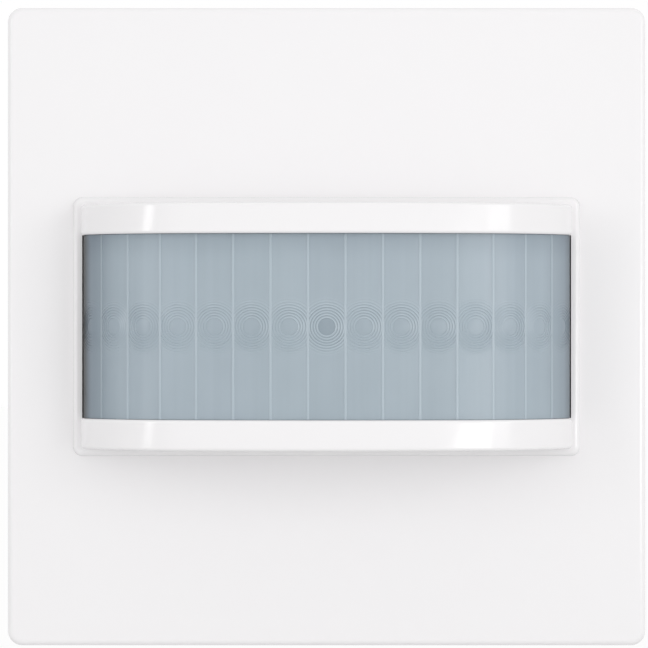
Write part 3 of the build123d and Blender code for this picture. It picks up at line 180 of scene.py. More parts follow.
def make_moulded_skin():
    """Moulded plastic: a fine spark-eroded grain, faint cloudiness and uneven gloss."""
    group, given, result = start_group(
        "moulded_skin",
        {
            "Colour": ("Color", (0.8, 0.8, 0.8, 1)),
            "Cloud Colour": ("Color", (0.75, 0.75, 0.75, 1)),
            "Cloud Amount": ("Float", 0.5),
            "Roughness": ("Float", 0.4),
            "Roughness Spread": ("Float", 0.08),
            "Grain Size": ("Float", 0.0003),
            "Grain Depth": ("Float", 0.000004),
        },
        {"Colour": "Color", "Roughness": "Float", "Normal": "Vector"},
    )
    space = object_space(group)
    clouds = noise(group, space, scale=60.0, detail=4.0)
    grain_scale = maths(group, "DIVIDE", 1.0, given.outputs["Grain Size"])
    cells = add_node(group, "ShaderNodeTexVoronoi", feature="SMOOTH_F1")
    link(group, space, cells.inputs["Vector"])
    link(group, grain_scale, cells.inputs["Scale"])
    speckle = add_node(group, "ShaderNodeTexNoise", in_Detail=2.0)
    link(group, space, speckle.inputs["Vector"])
    link(group, grain_scale, speckle.inputs["Scale"])
    height = maths(group, "ADD", cells.outputs["Distance"], speckle.outputs["Fac"])
    bump = add_node(group, "ShaderNodeBump", in_Strength=1.0)
    link(group, height, bump.inputs["Height"])
    link(group, given.outputs["Grain Depth"], bump.inputs["Distance"])
    share = maths(group, "MULTIPLY", clouds, given.outputs["Cloud Amount"], clamp=True)
    colour = mix_colours(group, share, given.outputs["Colour"], given.outputs["Cloud Colour"])
    swing = maths(group, "SUBTRACT", clouds, 0.5)
    spread = maths(group, "MULTIPLY", swing, given.outputs["Roughness Spread"])
    rough = maths(group, "ADD", given.outputs["Roughness"], spread, clamp=True)
    link(group, colour, result.inputs["Colour"])
    link(group, rough, result.inputs["Roughness"])
    link(group, bump.outputs["Normal"], result.inputs["Normal"])
    return group


def make_rolled_metal():
    """Rolled or plated metal: fine drawn lines, stains and handling marks."""
    group, given, result = start_group(
        "rolled_metal",
        {
            "Colour": ("Color", (0.6, 0.6, 0.6, 1)),
            "Stain Colour": ("Color", (0.4, 0.4, 0.4, 1)),
            "Stain Amount": ("Float", 0.5),
            "Roughness": ("Float", 0.3),
            "Roughness Spread": ("Float", 0.2),
            "Line Stretch": ("Vector", (1.0, 1.0, 1.0)),
            "Line Depth": ("Float", 0.000002),
        },
        {"Colour": "Color", "Roughness": "Float", "Normal": "Vector"},
    )
    space = object_space(group)
    stretched = add_node(group, "ShaderNodeVectorMath", operation="MULTIPLY")
    link(group, space, stretched.inputs[0])
    link(group, given.outputs["Line Stretch"], stretched.inputs[1])
    lines = noise(group, stretched.outputs["Vector"], scale=500.0, detail=5.0, roughness=0.6)
    stains = noise(group, space, scale=220.0, detail=5.0, roughness=0.6)
    sharper = maths(group, "POWER", stains, 2.0)
    share = maths(group, "MULTIPLY", sharper, given.outputs["Stain Amount"], clamp=True)
    colour = mix_colours(group, share, given.outputs["Colour"], given.outputs["Stain Colour"])
    swing = maths(group, "SUBTRACT", maths(group, "ADD", lines, stains), 1.0)
    spread = maths(group, "MULTIPLY", swing, given.outputs["Roughness Spread"])
    rough = maths(group, "ADD", given.outputs["Roughness"], spread, clamp=True)
    bump = add_node(group, "ShaderNodeBump", in_Strength=1.0)
    link(group, lines, bump.inputs["Height"])
    link(group, given.outputs["Line Depth"], bump.inputs["Distance"])
    link(group, colour, result.inputs["Colour"])
    link(group, rough, result.inputs["Roughness"])
    link(group, bump.outputs["Normal"], result.inputs["Normal"])
    return group


def make_board_print():
    """Circuit board: solder mask over tracks, with bare tinned pads on a grid."""
    group, given, result = start_group(
        "board_print",
        {
            "Mask Colour": ("Color", (0.02, 0.2, 0.08, 1)),
            "Track Colour": ("Color", (0.05, 0.32, 0.12, 1)),
            "Pad Colour": ("Color", (0.7, 0.68, 0.62, 1)),
            "Pitch": ("Float", 0.00254),
        },
        {"Colour": "Color", "Metal": "Float", "Roughness": "Float", "Height": "Float"},
    )
    pad_reach = 0.2
    pad_cutoff = 0.56
    mask_rough = 0.42
    pad_gloss = 0.14
    space = object_space(group, turn=(radians(90), 0, 0))
    tracks = add_node(
        group, "ShaderNodeTexBrick", offset=0.5, squash=0.6, squash_frequency=3,
        in_Scale=1.0, in_Mortar_Smooth=0.0, in_Bias=0.0, in_Brick_Width=0.0061,
        in_Row_Height=0.00127, in_Mortar_Size=0.00022)
    link(group, space, tracks.inputs["Vector"])
    pads = add_node(group, "ShaderNodeTexVoronoi", voronoi_dimensions="2D", in_Randomness=0.0)
    link(group, space, pads.inputs["Vector"])
    link(group, maths(group, "DIVIDE", 1.0, given.outputs["Pitch"]), pads.inputs["Scale"])
    chosen = add_node(group, "ShaderNodeTexNoise", in_Scale=260.0, in_Detail=0.0)
    link(group, pads.outputs["Position"], chosen.inputs["Vector"])
    near = maths(group, "LESS_THAN", pads.outputs["Distance"], pad_reach)
    kept = maths(group, "GREATER_THAN", chosen.outputs["Fac"], pad_cutoff)
    pad = maths(group, "MULTIPLY", near, kept)
    track = tracks.outputs["Fac"]
    under = mix_colours(group, track, given.outputs["Mask Colour"], given.outputs["Track Colour"])
    colour = mix_colours(group, pad, under, given.outputs["Pad Colour"])
    rough = maths(group, "SUBTRACT", mask_rough, maths(group, "MULTIPLY", pad, pad_gloss))
    link(group, colour, result.inputs["Colour"])
    link(group, pad, result.inputs["Metal"])
    link(group, rough, result.inputs["Roughness"])
    link(group, maths(group, "ADD", track, pad), result.inputs["Height"])
    return group


worn_edge = make_worn_edge()
moulded_skin = make_moulded_skin()
rolled_metal = make_rolled_metal()
board_print = make_board_print()


def use_group(tree, group, **values):
    """Place a node group; names use _ for a space."""
    node = add_node(tree, "ShaderNodeGroup", node_tree=group)
    for name, value in values.items():
        node.inputs[name.replace("_", " ")].default_value = value
    return node


def start_material(name, **values):
    """A material with one Principled shader; names use _ for a space."""
    material = bpy.data.materials.new(name)
    material.use_nodes = True
    shader = material.node_tree.nodes["Principled BSDF"]
    for socket_name, value in values.items():
        shader.inputs[socket_name.replace("_", " ")].default_value = value
    return material, material.node_tree, shader


def finish_skin(tree, shader, skin, edge, edge_width, edge_amount):
    """Link a skin group to the shader; edge is the colour of the worn edges, or None."""
    base = skin.outputs["Colour"]
    if edge:
        wear = use_group(tree, worn_edge, Edge_Width=edge_width, Amount=edge_amount)
        base = mix_colours(tree, wear.outputs["Mask"], base, edge)
    link(tree, base, shader.inputs["Base Color"])
    link(tree, skin.outputs["Roughness"], shader.inputs["Roughness"])
    link(tree, skin.outputs["Normal"], shader.inputs["Normal"])


def grey(level):
    """An opaque grey."""
    return (level, level, level, 1)


def plastic(name, colour, cloud, rough, spread=0.08, grain=0.0003, depth=0.000004,
            edge=None, **values):
    """Moulded plastic; edge is the colour that its worn edges take."""
    material, tree, shader = start_material(name, **values)
    skin = use_group(
        tree, moulded_skin, Colour=colour, Cloud_Colour=cloud, Roughness=rough,
        Roughness_Spread=spread, Grain_Size=grain, Grain_Depth=depth)
    finish_skin(tree, shader, skin, edge, edge_width=0.00022, edge_amount=0.5)
    return material


def metal(name, colour, stain, rough, spread=0.15, stretch=(1, 1, 1), stain_amount=0.6,
          edge=None, **values):
    """Plated or rolled metal; edge is the colour of its rubbed edges."""
    material, tree, shader = start_material(name, Metallic=1.0, **values)
    skin = use_group(
        tree, rolled_metal, Colour=colour, Stain_Colour=stain, Stain_Amount=stain_amount,
        Roughness=rough, Roughness_Spread=spread, Line_Stretch=stretch, Line_Depth=0.000002)
    finish_skin(tree, shader, skin, edge, edge_width=0.00015, edge_amount=0.8)
    return material


# Finishes, one for each slot of the record, and two more for the lens's seams and the solder
finishes = {}
finishes["white_shell"] = plastic(
    "white_shell", (0.868, 0.857, 0.865, 1), (0.854, 0.842, 0.851, 1), rough=0.13, spread=0.05,
    grain=0.00022, depth=0.0000008, IOR=1.5)
finishes["light_grey_plastic"] = plastic(
    "light_grey_plastic", (0.5, 0.51, 0.52, 1), (0.46, 0.47, 0.485, 1), rough=0.48,
    depth=0.000006, edge=(0.62, 0.63, 0.64, 1))
finishes["dark_plastic"] = plastic(
    "dark_plastic", (0.022, 0.022, 0.025, 1), (0.03, 0.03, 0.033, 1), rough=0.45,
    edge=(0.08, 0.08, 0.085, 1))
finishes["chip_black"] = plastic(
    "chip_black", (0.018, 0.018, 0.02, 1), (0.03, 0.03, 0.032, 1), rough=0.55,
    grain=0.00012, depth=0.000006)
finishes["trimmer_white"] = plastic(
    "trimmer_white", (0.78, 0.77, 0.72, 1), (0.72, 0.7, 0.64, 1), rough=0.42)
finishes["trimmer_blue"] = plastic(
    "trimmer_blue", (0.03, 0.1, 0.36, 1), (0.025, 0.08, 0.3, 1), rough=0.38,
    edge=(0.1, 0.2, 0.5, 1))
finishes["housing_grey"] = plastic(
    "housing_grey", (0.115, 0.12, 0.13, 1), (0.1, 0.105, 0.115, 1), rough=0.5,
    grain=0.0004, depth=0.00001, edge=(0.2, 0.205, 0.215, 1))
finishes["relay_black"] = plastic(
    "relay_black", (0.02, 0.022, 0.028, 1), (0.03, 0.032, 0.04, 1), rough=0.36,
    edge=(0.07, 0.075, 0.09, 1))
finishes["bobbin_cream"] = plastic(
    "bobbin_cream", (0.7, 0.6, 0.4, 1), (0.66, 0.55, 0.35, 1), rough=0.45)
finishes["film_box_yellow"] = plastic(
    "film_box_yellow", (0.68, 0.36, 0.02, 1), (0.62, 0.31, 0.015, 1), rough=0.4,
    edge=(0.76, 0.48, 0.08, 1))
finishes["varistor_blue"] = plastic(
    "varistor_blue", (0.015, 0.06, 0.26, 1), (0.02, 0.075, 0.3, 1), rough=0.28,
    grain=0.0012, depth=0.00003, Coat_Weight=0.3, Coat_Roughness=0.1)
finishes["sleeve_dark"] = plastic(
    "sleeve_dark", (0.012, 0.016, 0.04, 1), (0.015, 0.02, 0.05, 1), rough=0.3,
    grain=0.0015, depth=0.000008)
finishes["fuse_ceramic"] = plastic(
    "fuse_ceramic", (0.78, 0.77, 0.72, 1), (0.72, 0.7, 0.64, 1), rough=0.35,
    grain=0.0002, depth=0.000005)
finishes["led_red"] = plastic(
    "led_red", (0.6, 0.02, 0.012, 1), (0.5, 0.015, 0.01, 1), rough=0.12, spread=0.04,
    depth=0.0, Transmission_Weight=0.35, IOR=1.5)
finishes["filter_glass"] = plastic(
    "filter_glass", (0.012, 0.012, 0.016, 1), (0.02, 0.016, 0.026, 1), rough=0.08, spread=0.03,
    depth=0.0, IOR=2.2, Coat_Weight=0.4)
finishes["can_steel"] = metal(
    "can_steel", (0.62, 0.61, 0.58, 1), (0.5, 0.48, 0.44, 1), rough=0.28)
finishes["capacitor_can"] = metal(
    "capacitor_can", (0.72, 0.73, 0.75, 1), (0.6, 0.61, 0.63, 1), rough=0.34)
finishes["black_oxide_steel"] = metal(
    "black_oxide_steel", (0.06, 0.06, 0.065, 1), (0.1, 0.085, 0.07, 1), rough=0.36,
    edge=(0.32, 0.32, 0.33, 1))
finishes["zinc_steel"] = metal(
    "zinc_steel", (0.56, 0.58, 0.6, 1), (0.4, 0.42, 0.45, 1), rough=0.32, spread=0.22,
    stain_amount=0.9, edge=(0.75, 0.76, 0.78, 1))
finishes["spring_steel"] = metal(
    "spring_steel", (0.5, 0.51, 0.53, 1), (0.36, 0.35, 0.34, 1), rough=0.24,
    stretch=(8, 1, 1), edge=(0.72, 0.73, 0.74, 1))
finishes["gilt_brass"] = metal(
    "gilt_brass", (0.84, 0.62, 0.24, 1), (0.7, 0.48, 0.16, 1), rough=0.2)
finishes["brass"] = metal(
    "brass", (0.72, 0.52, 0.22, 1), (0.5, 0.34, 0.13, 1), rough=0.3, spread=0.2,
    stretch=(1, 6, 1), edge=(0.88, 0.7, 0.38, 1))
finishes["enamelled_copper"] = metal(
    "enamelled_copper", (0.62, 0.2, 0.07, 1), (0.5, 0.14, 0.05, 1), rough=0.22,
    Coat_Weight=0.5, Coat_Roughness=0.1)
finishes["solder"] = metal(
    "solder", (0.7, 0.7, 0.71, 1), (0.55, 0.55, 0.56, 1), rough=0.22)
finishes["soft_iron"] = metal(
    "soft_iron", (0.38, 0.38, 0.39, 1), (0.26, 0.24, 0.22, 1), rough=0.4, spread=0.25,
    stain_amount=1.0, stretch=(1, 7, 1), edge=(0.55, 0.55, 0.56, 1))


def make_circuit_board():
    """Green circuit board with raised tracks and pads."""
    material, tree, shader = start_material("circuit_board", IOR=1.5)
    printed = use_group(tree, board_print)
    bump = add_node(tree, "ShaderNodeBump", in_Strength=0.6, in_Distance=0.00003)
    link(tree, printed.outputs["Height"], bump.inputs["Height"])
    link(tree, printed.outputs["Colour"], shader.inputs["Base Color"])
    link(tree, printed.outputs["Metal"], shader.inputs["Metallic"])
    link(tree, printed.outputs["Roughness"], shader.inputs["Roughness"])
    link(tree, bump.outputs["Normal"], shader.inputs["Normal"])
    return material


finishes["circuit_board"] = make_circuit_board()

# Bands of the lens film as (axis, start, full, amount). The first set is painted shade that greys
# the film towards its two ends, where it turns away, more at the left end, and under the upper
# bar. The second set is painted shadow that darkens its very ends, where they meet the hood.
painted_shade_bands = (("X", -19.6, -24.0, 0.9), ("X", 20.8, 25.0, 0.9), ("Z", 6.0, 9.4, 0.3))
painted_gap_shadow_bands = (("X", -23.0, -24.0, 1.0), ("X", 23.2, 24.2, 0.6))


def make_lens_film(name, colour, shade_colour, paler_and_highlight_colour, haze_colour):
    """Milky lens film with fine upright streaks. Painted shade greys it towards the ends, where it
    turns away, and under the upper bar, and painted shadow darkens its very ends. A painted
    highlight lightens the crests of its rings, and painted shade darkens their grooves and the
    discs in their middles."""
    material, tree, shader = start_material(
        name, IOR=1.5, Subsurface_Weight=0.12, Subsurface_Radius=(0.5, 0.5, 0.5),
        Subsurface_Scale=0.001)
    place = add_node(tree, "ShaderNodeSeparateXYZ")
    link(tree, object_space(tree), place.inputs[0])

    def shade_bands(bands):
        """Sum of the bands, each growing from 0 to its amount between two places on an axis."""
        shades = []
        for axis, start, full, amount in bands:
            share = add_node(tree, "ShaderNodeMapRange", interpolation_type="SMOOTHSTEP")
            share.inputs["From Min"].default_value = start * MM
            share.inputs["From Max"].default_value = full * MM
            link(tree, place.outputs[axis], share.inputs["Value"])
            shades.append((share.outputs[0], amount))
        return add_weighted(tree, shades, clamp=True)

    haze_amount = 0.6
    light_amount = 0.5
    least_rough = 0.26
    rough_spread = 0.16
    gap_shadow_colour = grey(0.03)
    streaks = noise(tree, object_space(tree, scale=(1, 1, 0.02)), scale=1400.0, detail=2.0)
    clouds = noise(tree, object_space(tree), scale=190.0, detail=2.0)
    haze = noise(tree, object_space(tree, scale=(1, 1, 0.5)), scale=70.0, detail=1.0)
    tint = add_node(tree, "ShaderNodeAttribute", attribute_name="tint")
    painted_ring_light = add_node(tree, "ShaderNodeAttribute", attribute_name="painted_ring_light")
    # The film is lightened by its real streaks, clouds and facet tint, and by the ring layer: a
    # painted highlight on the crests, with painted shade in the grooves and on the discs
    tone_and_ring_light = add_weighted(tree, (
        (streaks, 0.35), (clouds, 0.35), (tint.outputs["Fac"], 0.12), (painted_ring_light.outputs["Fac"], 0.9)))
    light_share = maths(tree, "MULTIPLY", tone_and_ring_light, light_amount, clamp=True)
    body = mix_colours(tree, maths(tree, "MULTIPLY", haze, haze_amount), colour, haze_colour)
    lit = mix_colours(tree, light_share, body, paler_and_highlight_colour)
    # Painted shade towards the ends and under the upper bar, then painted shadow at the very ends
    shade_painted = mix_colours(tree, shade_bands(painted_shade_bands), lit, shade_colour)
    shaded = mix_colours(tree, shade_bands(painted_gap_shadow_bands), shade_painted, gap_shadow_colour)
    rough = maths(tree, "ADD", least_rough, maths(tree, "MULTIPLY", clouds, rough_spread))
    bump = add_node(tree, "ShaderNodeBump", in_Strength=1.0, in_Distance=0.000003)
    link(tree, streaks, bump.inputs["Height"])
    link(tree, shaded, shader.inputs["Base Color"])
    link(tree, rough, shader.inputs["Roughness"])
    link(tree, bump.outputs["Normal"], shader.inputs["Normal"])
    return material


# The second colour of each film is the colour of its painted shade
finishes["lens_film"] = make_lens_film(
    "lens_film", (0.265, 0.33, 0.37, 1), (0.17, 0.215, 0.26, 1), (0.48, 0.56, 0.615, 1),
    (0.285, 0.325, 0.395, 1))
finishes["lens_seam"] = make_lens_film(
    "lens_seam", (0.405, 0.48, 0.53, 1), (0.23, 0.28, 0.32, 1), (0.48, 0.56, 0.615, 1),
    (0.42, 0.48, 0.545, 1))


# Carried-over pieces: smooth across soft edges, crisp across hard ones

def finish_carried_piece(piece, slot):
    """Give a carried-over piece its finish and clean shading."""
    piece.data.materials.clear()
    piece.data.materials.append(finishes[slot])
    for face in piece.data.polygons:
        face.use_smooth = True
        face.material_index = 0
    weld = piece.modifiers.new("weld", "WELD")
    weld.merge_threshold = 0.000001
    split = piece.modifiers.new("hard_edges", "EDGE_SPLIT")
    split.split_angle = radians(28)
    weighted = piece.modifiers.new("flat_faces", "WEIGHTED_NORMAL")
    weighted.keep_sharp = True


def paint_region(node, finish, low, high):
    """Give the faces of a carried-over piece whose middles lie in a box another finish."""
    mesh = nodes[node].data
    mesh.materials.append(finishes[finish])
    index = len(mesh.materials) - 1
    for face in mesh.polygons:
        x, y, z = face.center / MM
        if all(low[k] <= value <= high[k] for k, value in enumerate((x, -y, z))):
            face.material_index = index


for part in frame["record"]["subparts"]:
    finish_carried_piece(nodes[part["node"]], part["material_slot"])

# Leads, caps and tops with a finish of their own: the piece, the finish, and the box's lowest
# and highest corner as (x, height from the wall, z) in millimetres
painted_regions = (
    ("microcontroller", "zinc_steel", (-4, 5, -6.39), (4, 7, -4)),
    ("microcontroller", "zinc_steel", (-4, 5, -14), (4, 7, -11.61)),
    ("fuse", "zinc_steel", (7, -25, 7), (9.65, -19, 12)),
    ("fuse", "zinc_steel", (15.15, -25, 7), (18, -19, 12)),
    ("varistor", "zinc_steel", (12, -25, -8), (17, -22.6, 2)),
    ("storage_capacitor", "chip_black", (-3, 8, 2), (3, 8.95, 8)),
    ("supply_capacitor", "capacitor_can", (2, -12.1, -9), (11, -11.9, 0)),
    ("relay_fixed_contact", "can_steel", (-3.4, -12.9, -4.8), (0, -11.7, -0.6)),
)
for node, finish, low, high in painted_regions:
    paint_region(node, finish, low, high)


# Helpers for new pieces

def spin_round(built, points, axis, steps):
    """Join points into a line and spin it once round an axis through the origin."""
    line = [built.edges.new(pair) for pair in zip(points, points[1:])]
    bmesh.ops.spin(
        built, geom=points + line, axis=axis, cent=(0, 0, 0), angle=2 * pi, steps=steps,
        use_merge=True)


def mesh_piece(name, built, finish, body, soft_angle=30):
    """Turn a bmesh into a piece that rides on a body."""
    bmesh.ops.recalc_face_normals(built, faces=built.faces)
    if built.calc_volume(signed=True) < 0:
        bmesh.ops.reverse_faces(built, faces=built.faces)
    mesh = bpy.data.meshes.new(name)
    built.to_mesh(mesh)
    built.free()
    mesh.materials.append(finish)
    for face in mesh.polygons:
        face.use_smooth = True
    piece = bpy.data.objects.new(name, mesh)
    bpy.context.scene.collection.objects.link(piece)
    split = piece.modifiers.new("hard_edges", "EDGE_SPLIT")
    split.split_angle = radians(soft_angle)
    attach(piece, body)
    return piece


# Lens facets: each is a plate with a disc in the middle and stepped rings round it. The plates
# lie side by side on the lens and bend with it. First the lens's own sizes, in millimetres.
plate_front = 11.0
hood_rise = 11.5
lens_recess = 0.9
crown = plate_front + hood_rise - lens_recess
front_r = 95.0
shoulder_start = radians(8.0)
lens_half_width = 23.9
lens_half_height = 8.9
hood_half_width = 24.1
hood_end = radians(66.6)
centre_run = hood_half_width - front_r * sin(shoulder_start)
shoulder_r = centre_run / (sin(hood_end) - sin(shoulder_start))
shoulder_x = (front_r - shoulder_r) * sin(shoulder_start)
shoulder_h = crown - front_r + (front_r - shoulder_r) * cos(shoulder_start)
lens_end = asin((lens_half_width - shoulder_x) / shoulder_r)
flat_run = front_r * shoulder_start
half_run = flat_run + shoulder_r * (lens_end - shoulder_start)

# Facets and the seam ribs between them
facet_count = 15
middle_facet = (facet_count - 1) / 2
facet_width = 2 * half_run / facet_count
facet_gap = 0.16
facet_base = 0.012
facet_back = -0.06
facet_soft_angle = 8
facet_cut_shares = (-0.75, -0.5, -0.25, 0.25, 0.5, 0.75)
tile_half_height = 8.97
seam_rib_width = 0.25
seam_rib_depth = 0.12
seam_rib_sink = 0.005
seam_rib_edge_r = 0.03

# Rings of a facet
ring_pitch = 0.26
ring_depth = 0.05
ring_reach = 2.8
ring_fade = 0.9
crest_offset = 0.03
ring_segments = 72
disc_r = 0.83
# Value of the middle disc in the layer of painted ring light: painted shade
disc_shade = 0.1
disc_dome_shares = (0.35, 0.7, 1.0)

# How strongly the painted highlight and shade of a facet's rings show: by its place on the lens,
# and by the direction from its middle, as if lit from the upper right
outer_strength = 0.45
middle_strength = 0.8
strength_spread = 3.4
glint_x = 0.6
glint_z = 0.8
glint_gain = 1.5
least_glint = 0.25
disc_glint = 0.05
disc_edge = 0.01
nearest_r = 0.1

# Step of the sine that gives each facet its tint
tint_turn = 2.4


def on_lens(run, height, proud):
    """Point of the lens's front at a distance along its bow, a level, and an offset outwards."""
    along = abs(run)
    if along <= flat_run:
        angle = along / front_r
        x = (front_r + proud) * sin(angle)
        h = crown - front_r + (front_r + proud) * cos(angle)
    else:
        angle = shoulder_start + (along - flat_run) / shoulder_r
        x = shoulder_x + (shoulder_r + proud) * sin(angle)
        h = shoulder_h + (shoulder_r + proud) * cos(angle)
    return Vector((x if run >= 0 else -x, -h, height)) * MM


def cut_plate(built, place, normal, clear_outer):
    """Cut a facet along a plane, and drop what lies beyond it where clear_outer says so."""
    bmesh.ops.bisect_plane(
        built, geom=built.verts[:] + built.edges[:] + built.faces[:], plane_co=place,
        plane_no=normal, clear_outer=clear_outer)


def make_ring_plate():
    """One flat facet: X along the bow, Y up, Z out of the lens. Its layer of painted ring light is
    1 on the crests of its rings, for a painted highlight, 0 in their grooves, for painted shade,
    and low on the disc, for painted shade. It fades to an even 0.5 towards the edge."""
    built = bmesh.new()
    painted_ring_light = built.verts.layers.float.new("painted_ring_light")
    profile = []

    def add_point(radius, proud, shade):
        """Add a point of the profile with its ridge value."""
        point = built.verts.new((radius, 0, proud))
        point[painted_ring_light] = shade
        profile.append(point)

    add_point(0, facet_base + ring_depth, disc_shade)
    for share in disc_dome_shares:
        add_point(disc_r * share, facet_base + ring_depth * (1 - share ** 2), disc_shade)
    radius = disc_r
    while radius < ring_reach:
        fade = min(1.0, (ring_reach - radius) / ring_fade)
        add_point(radius + crest_offset, facet_base + ring_depth * fade, 0.5 + 0.5 * fade)
        radius += ring_pitch
        fade = max(0.0, min(1.0, (ring_reach - radius) / ring_fade))
        add_point(radius, facet_base, 0.5 - 0.5 * fade)
    add_point(facet_width + 2 * lens_half_height, facet_base, 0.5)
    spin_round(built, profile, (0, 0, 1), ring_segments)
    bmesh.ops.remove_doubles(built, verts=built.verts, dist=0.00001)

    half = (facet_width - facet_gap) / 2
    for side in (1, -1):
        cut_plate(built, (side * half, 0, 0), (side, 0, 0), True)
    for side in (1, -1):
        cut_plate(built, (0, side * tile_half_height, 0), (0, side, 0), True)
    for share in facet_cut_shares:
        cut_plate(built, (half * share, 0, 0), (1, 0, 0), False)
    border = [edge for edge in built.edges if edge.is_boundary]
    skirt = bmesh.ops.extrude_edge_only(built, edges=border)["geom"]
    for vert in (part for part in skirt if isinstance(part, bmesh.types.BMVert)):
        vert.co.z = facet_back
    bottom = [part for part in skirt if isinstance(part, bmesh.types.BMEdge) and part.is_boundary]
    bmesh.ops.contextual_create(built, geom=bottom)
    return built


def make_seam_rib():
    """The light line between two facets, a narrow rounded rib."""
    built = bmesh.new()
    bmesh.ops.create_cube(built, size=1)
    bmesh.ops.scale(
        built, verts=built.verts, vec=(seam_rib_width, 2 * tile_half_height, seam_rib_depth))
    bmesh.ops.translate(built, verts=built.verts, vec=(0, 0, -seam_rib_sink))
    edges = [
        edge for edge in built.edges
        if all(vert.co.z > 0 for vert in edge.verts) and edge.verts[0].co.x == edge.verts[1].co.x
    ]
    bmesh.ops.bevel(
        built, geom=edges, offset=seam_rib_edge_r, segments=2, profile=0.5, affect="EDGES",
        material=-1)
    return built


def shade_facet(facet, number):
    """Give a facet its tint, and the painted highlight and shade of its rings. These show most in
    the middle of the lens and towards the rings' upper right, as if lit from there. The middle
    facet's rings show all round."""
    tint = facet.verts.layers.float.new("tint")
    painted_ring_light = facet.verts.layers.float["painted_ring_light"]
    off_centre = number - middle_facet
    strength = outer_strength + middle_strength * exp(-(off_centre / strength_spread) ** 2)
    all_round = 1 - 2 * abs(off_centre)
    for vert in facet.verts:
        vert[tint] = 0.5 + 0.5 * sin(tint_turn * number)
        reach = vert.co.xy.length
        upper_right = (glint_x * vert.co.x + glint_z * vert.co.y) / max(reach, nearest_r)
        if reach < disc_r + disc_edge:
            upper_right = disc_glint
        glint = sqrt(max(upper_right, 0.0, all_round))
        weight = strength * (least_glint + glint_gain * glint)
        vert[painted_ring_light] = 0.5 + (vert[painted_ring_light] - 0.5) * weight


def lay_on_lens(flat, middle):
    """Bend a flat bmesh on to the lens, its middle at a distance along the bow."""
    for vert in flat.verts:
        vert.co = on_lens(middle + vert.co.x, vert.co.y, vert.co.z)


plate_mesh = bpy.data.meshes.new("ring_plate")
ring_plate = make_ring_plate()
ring_plate.to_mesh(plate_mesh)
ring_plate.free()
for number in range(facet_count):
    facet = bmesh.new()
    facet.from_mesh(plate_mesh)
    shade_facet(facet, number)
    lay_on_lens(facet, (number - middle_facet) * facet_width)
    piece = mesh_piece(
        f"lens_facet_{number + 1}", facet, finishes["lens_film"], "sensor_head",
        soft_angle=facet_soft_angle)
bpy.data.meshes.remove(plate_mesh)

for number in range(1, facet_count):
    rib = make_seam_rib()
    lay_on_lens(rib, (number - facet_count / 2) * facet_width)
    piece = mesh_piece(f"lens_seam_{number}", rib, finishes["lens_seam"], "sensor_head")

# Copper winding of the relay: rows of wire side by side, each half a circle in section
wire_r = 0.15
wire_arc_steps = 5
coil_segments = 48
coil_low, coil_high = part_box("relay_winding")
coil_middle = (coil_low + coil_high) / 2
coil_r = (coil_high.x - coil_low.x) / 2 / MM
coil_length = (coil_high.y - coil_low.y) / MM
row_count = int(coil_length / (2 * wire_r))
row_pitch = coil_length / row_count
winding = bmesh.new()
profile = [winding.verts.new((0, -coil_length / 2, 0))]
for row in range(row_count):
    for step in range(wire_arc_steps):
        angle = pi * step / wire_arc_steps
        along = row_pitch * (row + 0.5 - 0.5 * cos(angle)) - coil_length / 2
        out = coil_r - wire_r + wire_r * sin(angle)
        profile.append(winding.verts.new((out, along, 0)))
profile.append(winding.verts.new((coil_r - wire_r, coil_length / 2, 0)))
profile.append(winding.verts.new((0, coil_length / 2, 0)))
spin_round(winding, profile, (0, 1, 0), coil_segments)
bmesh.ops.remove_doubles(winding, verts=winding.verts, dist=0.0001)
bmesh.ops.scale(winding, verts=winding.verts, vec=(MM, MM, MM))
bmesh.ops.translate(winding, verts=winding.verts, vec=coil_middle)
coil = mesh_piece("relay_coil", winding, finishes["enamelled_copper"], "insert", soft_angle=50)
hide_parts("relay_winding")

# Threads of the claw screws and the terminal screws
thread_sink = 0.02
thread_half_share = 0.3
thread_steps = 20
claw_screw_x = 25.7
terminal_xs = (-13.05, -4.35, 4.35, 13.05)
terminal_screw_z = -17.7


def cut_thread(name, body, place, radius, ridge_height, pitch, back_h, front_h):
    """A thread's ridge wound round a screw that points at the wall; place is (x, z)."""
    built = bmesh.new()
    foot = radius - thread_sink
    half = thread_half_share * pitch
    corners = ((foot, -half), (radius + ridge_height, 0), (foot, half))
    points = [built.verts.new((r, y, 0)) for r, y in corners]
    edges = [built.edges.new((points[k], points[(k + 1) % 3])) for k in range(3)]
    turns = (front_h - back_h) / pitch - 1
    built.faces.new(points)
    bmesh.ops.spin(
        built, geom=built.verts[:] + edges + built.faces[:], axis=(0, 1, 0), cent=(0, 0, 0),
        dvec=(0, pitch / thread_steps, 0), angle=2 * pi * turns,
        steps=int(thread_steps * turns))
    bmesh.ops.remove_doubles(built, verts=built.verts, dist=0.0001)
    bmesh.ops.translate(
        built, verts=built.verts, vec=(place[0], -front_h + 0.5 * pitch, place[1]))
    bmesh.ops.scale(built, verts=built.verts, vec=(MM, MM, MM))
    piece = mesh_piece(name, built, finishes["zinc_steel"], body)


for side, name in ((-1, "left"), (1, "right")):
    cut_thread(
        f"claw_thread_{name}", f"claw_screw_{name}", (side * claw_screw_x, 0), radius=1.5,
        ridge_height=0.12, pitch=0.6, back_h=-13.2, front_h=0.8)
for number, x in enumerate(terminal_xs, 1):
    cut_thread(
        f"terminal_thread_{number}", f"terminal_screw_{number}", (x, terminal_screw_z),
        radius=1.25, ridge_height=0.05, pitch=0.5, back_h=-7.8, front_h=-4.0)

